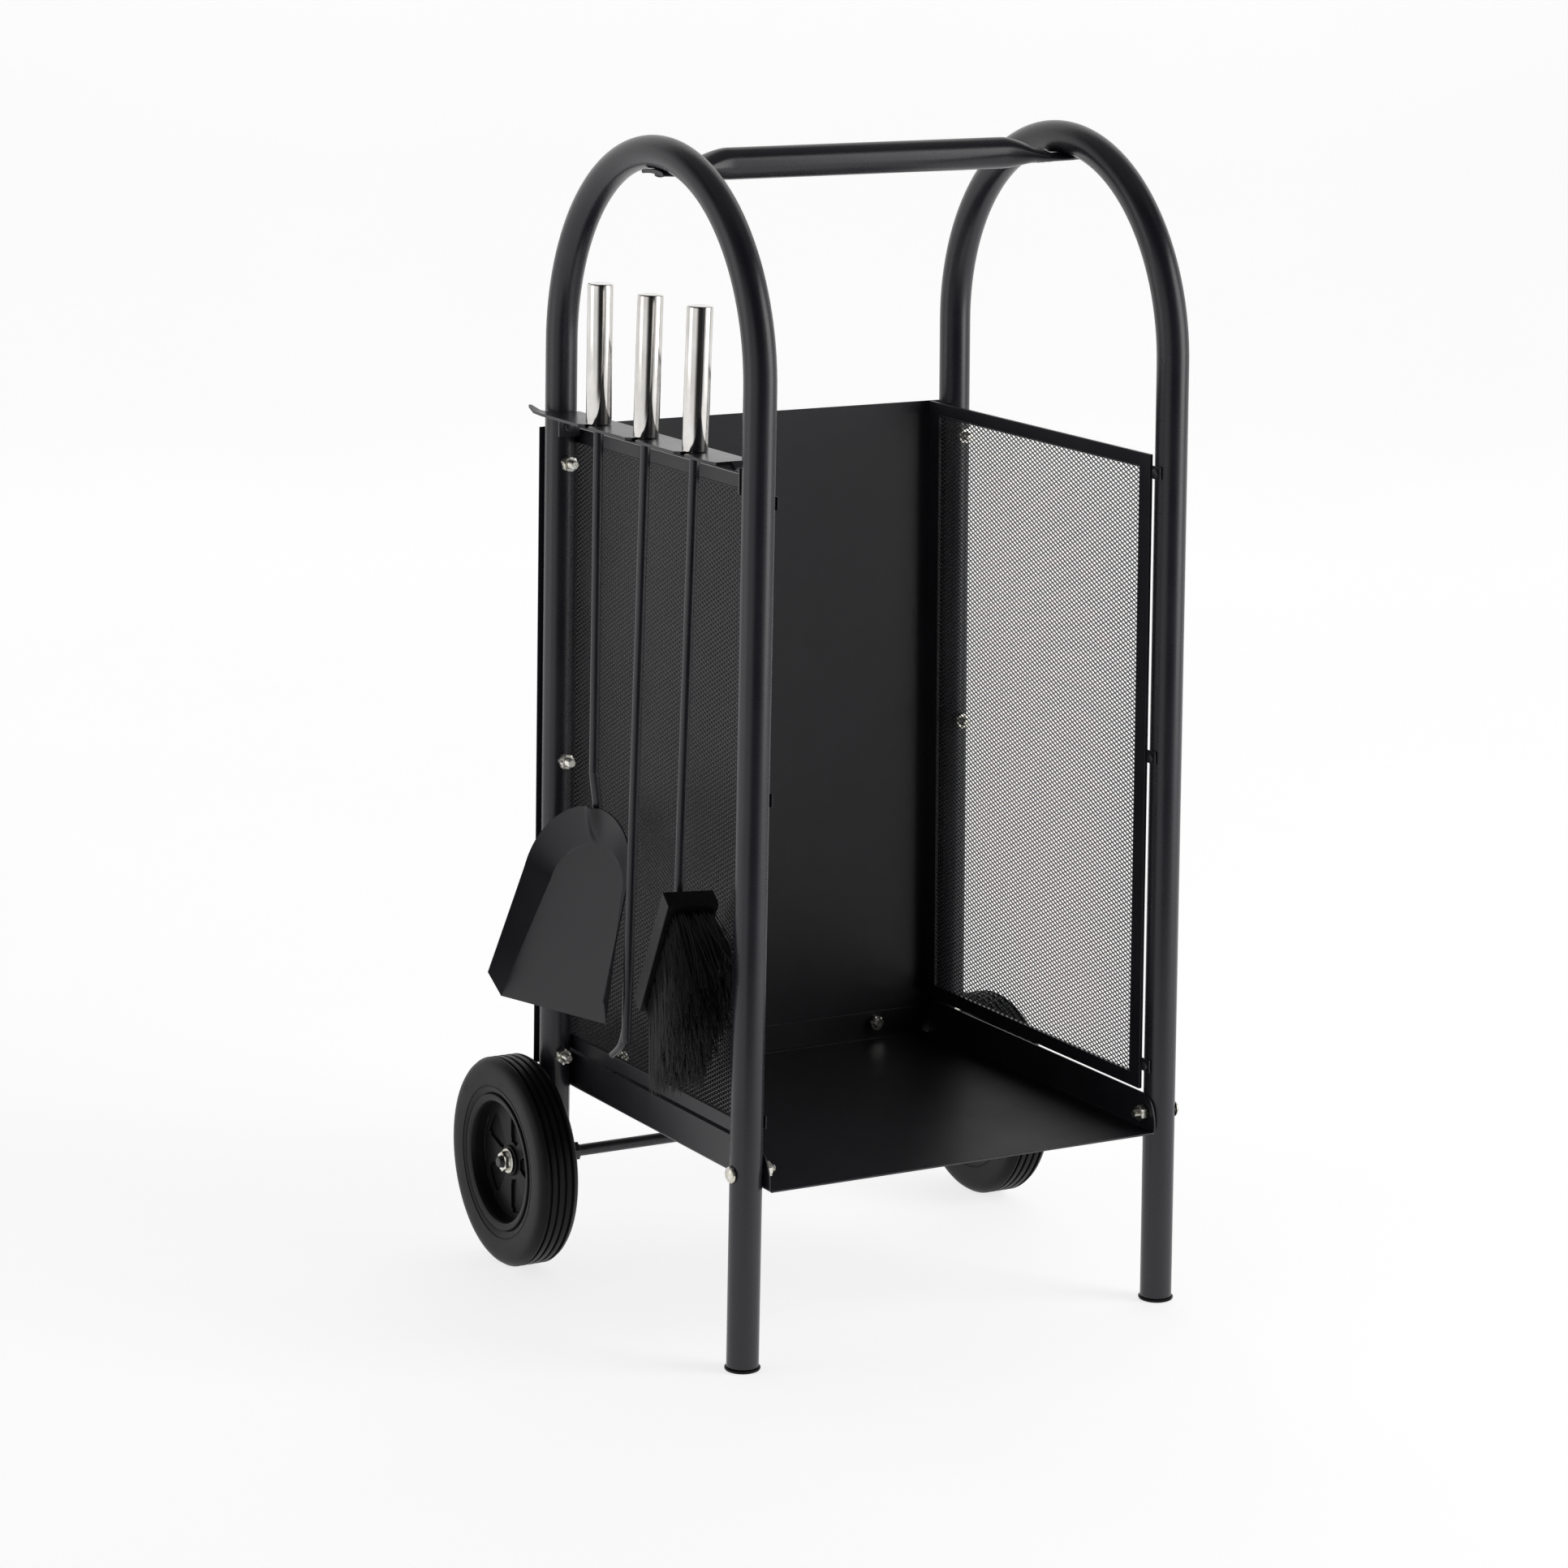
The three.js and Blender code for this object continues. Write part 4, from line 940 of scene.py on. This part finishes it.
paper = {"half": 6.0, "turn": -29.3, "glow": (0.755, 0.76), "wall": 4.5}


def studioFloor():
    # a sheet of lit white paper that runs up into a wall behind
    sh = Shader(bpy.data.materials.new("pale floor"))
    cloud = sh.noise(sh.place(), 2.0, 3.0)
    color = sh.blend(cloud, (0.44, 0.44, 0.44), (0.48, 0.48, 0.48))
    glow = sh.blend(cloud, *[(level, level, level) for level in paper["glow"]])
    material = sh.done(Base_Color=color, Roughness=0.7 + cloud * 0.1, Specular_IOR_Level=0.1, Emission_Color=glow,
                       Emission_Strength=1.0)
    bm = bmesh.new()
    line = [(-0.95, 0), (0, 0), (3, 0), (3.6, 0.1), (4.1, 0.4), (4.4, 0.9), (paper["wall"], 1.6), (paper["wall"], 6)]
    loft(bm, [[Vector((-paper["half"], y, z)), Vector((paper["half"], y, z))] for y, z in line], closed=False)
    mesh = bpy.data.meshes.new("studioFloor")
    bm.to_mesh(mesh)
    bm.free()
    mesh.shade_smooth()
    mesh.materials.append(material)
    floor = bpy.data.objects.new("studioFloor", mesh)
    bpy.context.scene.collection.objects.link(floor)
    floor.rotation_euler = (0, 0, math.radians(paper["turn"]))


studioFloor()


def softbox(name, at, target, size, power):
    light = bpy.data.lights.new(name, "AREA")
    light.shape = "RECTANGLE"
    light.size, light.size_y = size
    light.energy = power
    lamp = bpy.data.objects.new(name, light)
    bpy.context.scene.collection.objects.link(lamp)
    lamp.location = at
    lamp.rotation_euler = (Vector(target) - Vector(at)).to_track_quat("-Z", "Y").to_euler()


camera = {"at": (-1700.05, -2920.98, 1092.46), "yaw": 29.338, "pitch": -12.286, "roll": 0.614, "lens": 114.47}
yaw, pitch, roll = (math.radians(camera[k]) for k in ("yaw", "pitch", "roll"))
forward = Vector((math.sin(yaw) * math.cos(pitch), math.cos(yaw) * math.cos(pitch), math.sin(pitch)))
right = Vector((math.cos(yaw), -math.sin(yaw), 0))
up = right.cross(forward)
right, up = right * math.cos(roll) + up * math.sin(roll), up * math.cos(roll) - right * math.sin(roll)
lens = bpy.data.cameras.new("camera")
lens.lens = camera["lens"]
lens.sensor_width = 36
lens.dof.use_dof = False
eye = bpy.data.objects.new("camera", lens)
bpy.context.scene.collection.objects.link(eye)
turn = Matrix((right, up, -forward)).transposed().to_4x4()
eye.matrix_world = Matrix.Translation((Vector(camera["at"]) + shift) * mm) @ turn
bpy.context.scene.camera = eye

centre = Vector((0, 0, 0.4))
flatForward = Vector((math.sin(yaw), math.cos(yaw), 0))
flatRight = Vector((math.cos(yaw), -math.sin(yaw), 0))


def around(rightward, toCamera, height):
    return centre + flatRight * rightward - flatForward * toCamera + Vector((0, 0, height - centre.z))


softbox("left softbox", around(-2.6, 0.7, 0.9), centre, (1.4, 2.6), 9)
softbox("right softbox", around(2.4, 0.6, 1.0), centre, (1.3, 2.6), 34)
softbox("top softbox", around(0, -0.6, 3.4), centre, (4.0, 3.0), 6)

# the room is pale on both sides and dark behind the viewer
room = {"side": 0.84, "dark": 0.02, "turn": 14, "narrow": 0.965, "wide": 0.72, "overhead": 0.06, "seen": 1.0}
world = bpy.data.worlds.new("studio")
sky = Shader(world)
spot = sky.node("TexCoord", output="Generated")
level = sky.node("VectorMath", {"operation": "MULTIPLY"}, {0: spot, 1: (1, 1, 0)})
level = sky.node("VectorMath", {"operation": "NORMALIZE"}, {0: level})
darkest = Matrix.Rotation(math.radians(room["turn"]), 3, "Z") @ -flatForward
facing = sky.node("VectorMath", {"operation": "DOT_PRODUCT"}, {0: level, 1: darkest}, output="Value")
fade = sky.node("MapRange", {"interpolation_type": "SMOOTHSTEP"},
                {"Value": facing, "From Min": room["wide"], "From Max": room["narrow"],
                 "To Min": room["side"], "To Max": room["dark"]})
height = sky.node("SeparateXYZ", None, {0: spot}, output="Z")
overhead = sky.node("MapRange", {"interpolation_type": "SMOOTHSTEP"},
                    {"Value": height, "From Min": 0.15, "From Max": 0.75, "To Min": 1.0, "To Max": room["overhead"]})
direct = sky.node("LightPath", output="Is Camera Ray")
seen = sky.node("Mix", {"data_type": "FLOAT"}, {0: direct, 2: fade * overhead, 3: room["seen"]})
background = sky.node("Background", None, {"Color": (1, 1, 1, 1), "Strength": seen})
sky.node("OutputWorld", None, {"Surface": background})
bpy.context.scene.world = world
bpy.context.scene.view_settings.view_transform = "Standard"
bpy.context.scene.view_settings.look = "None"
print("studio made")
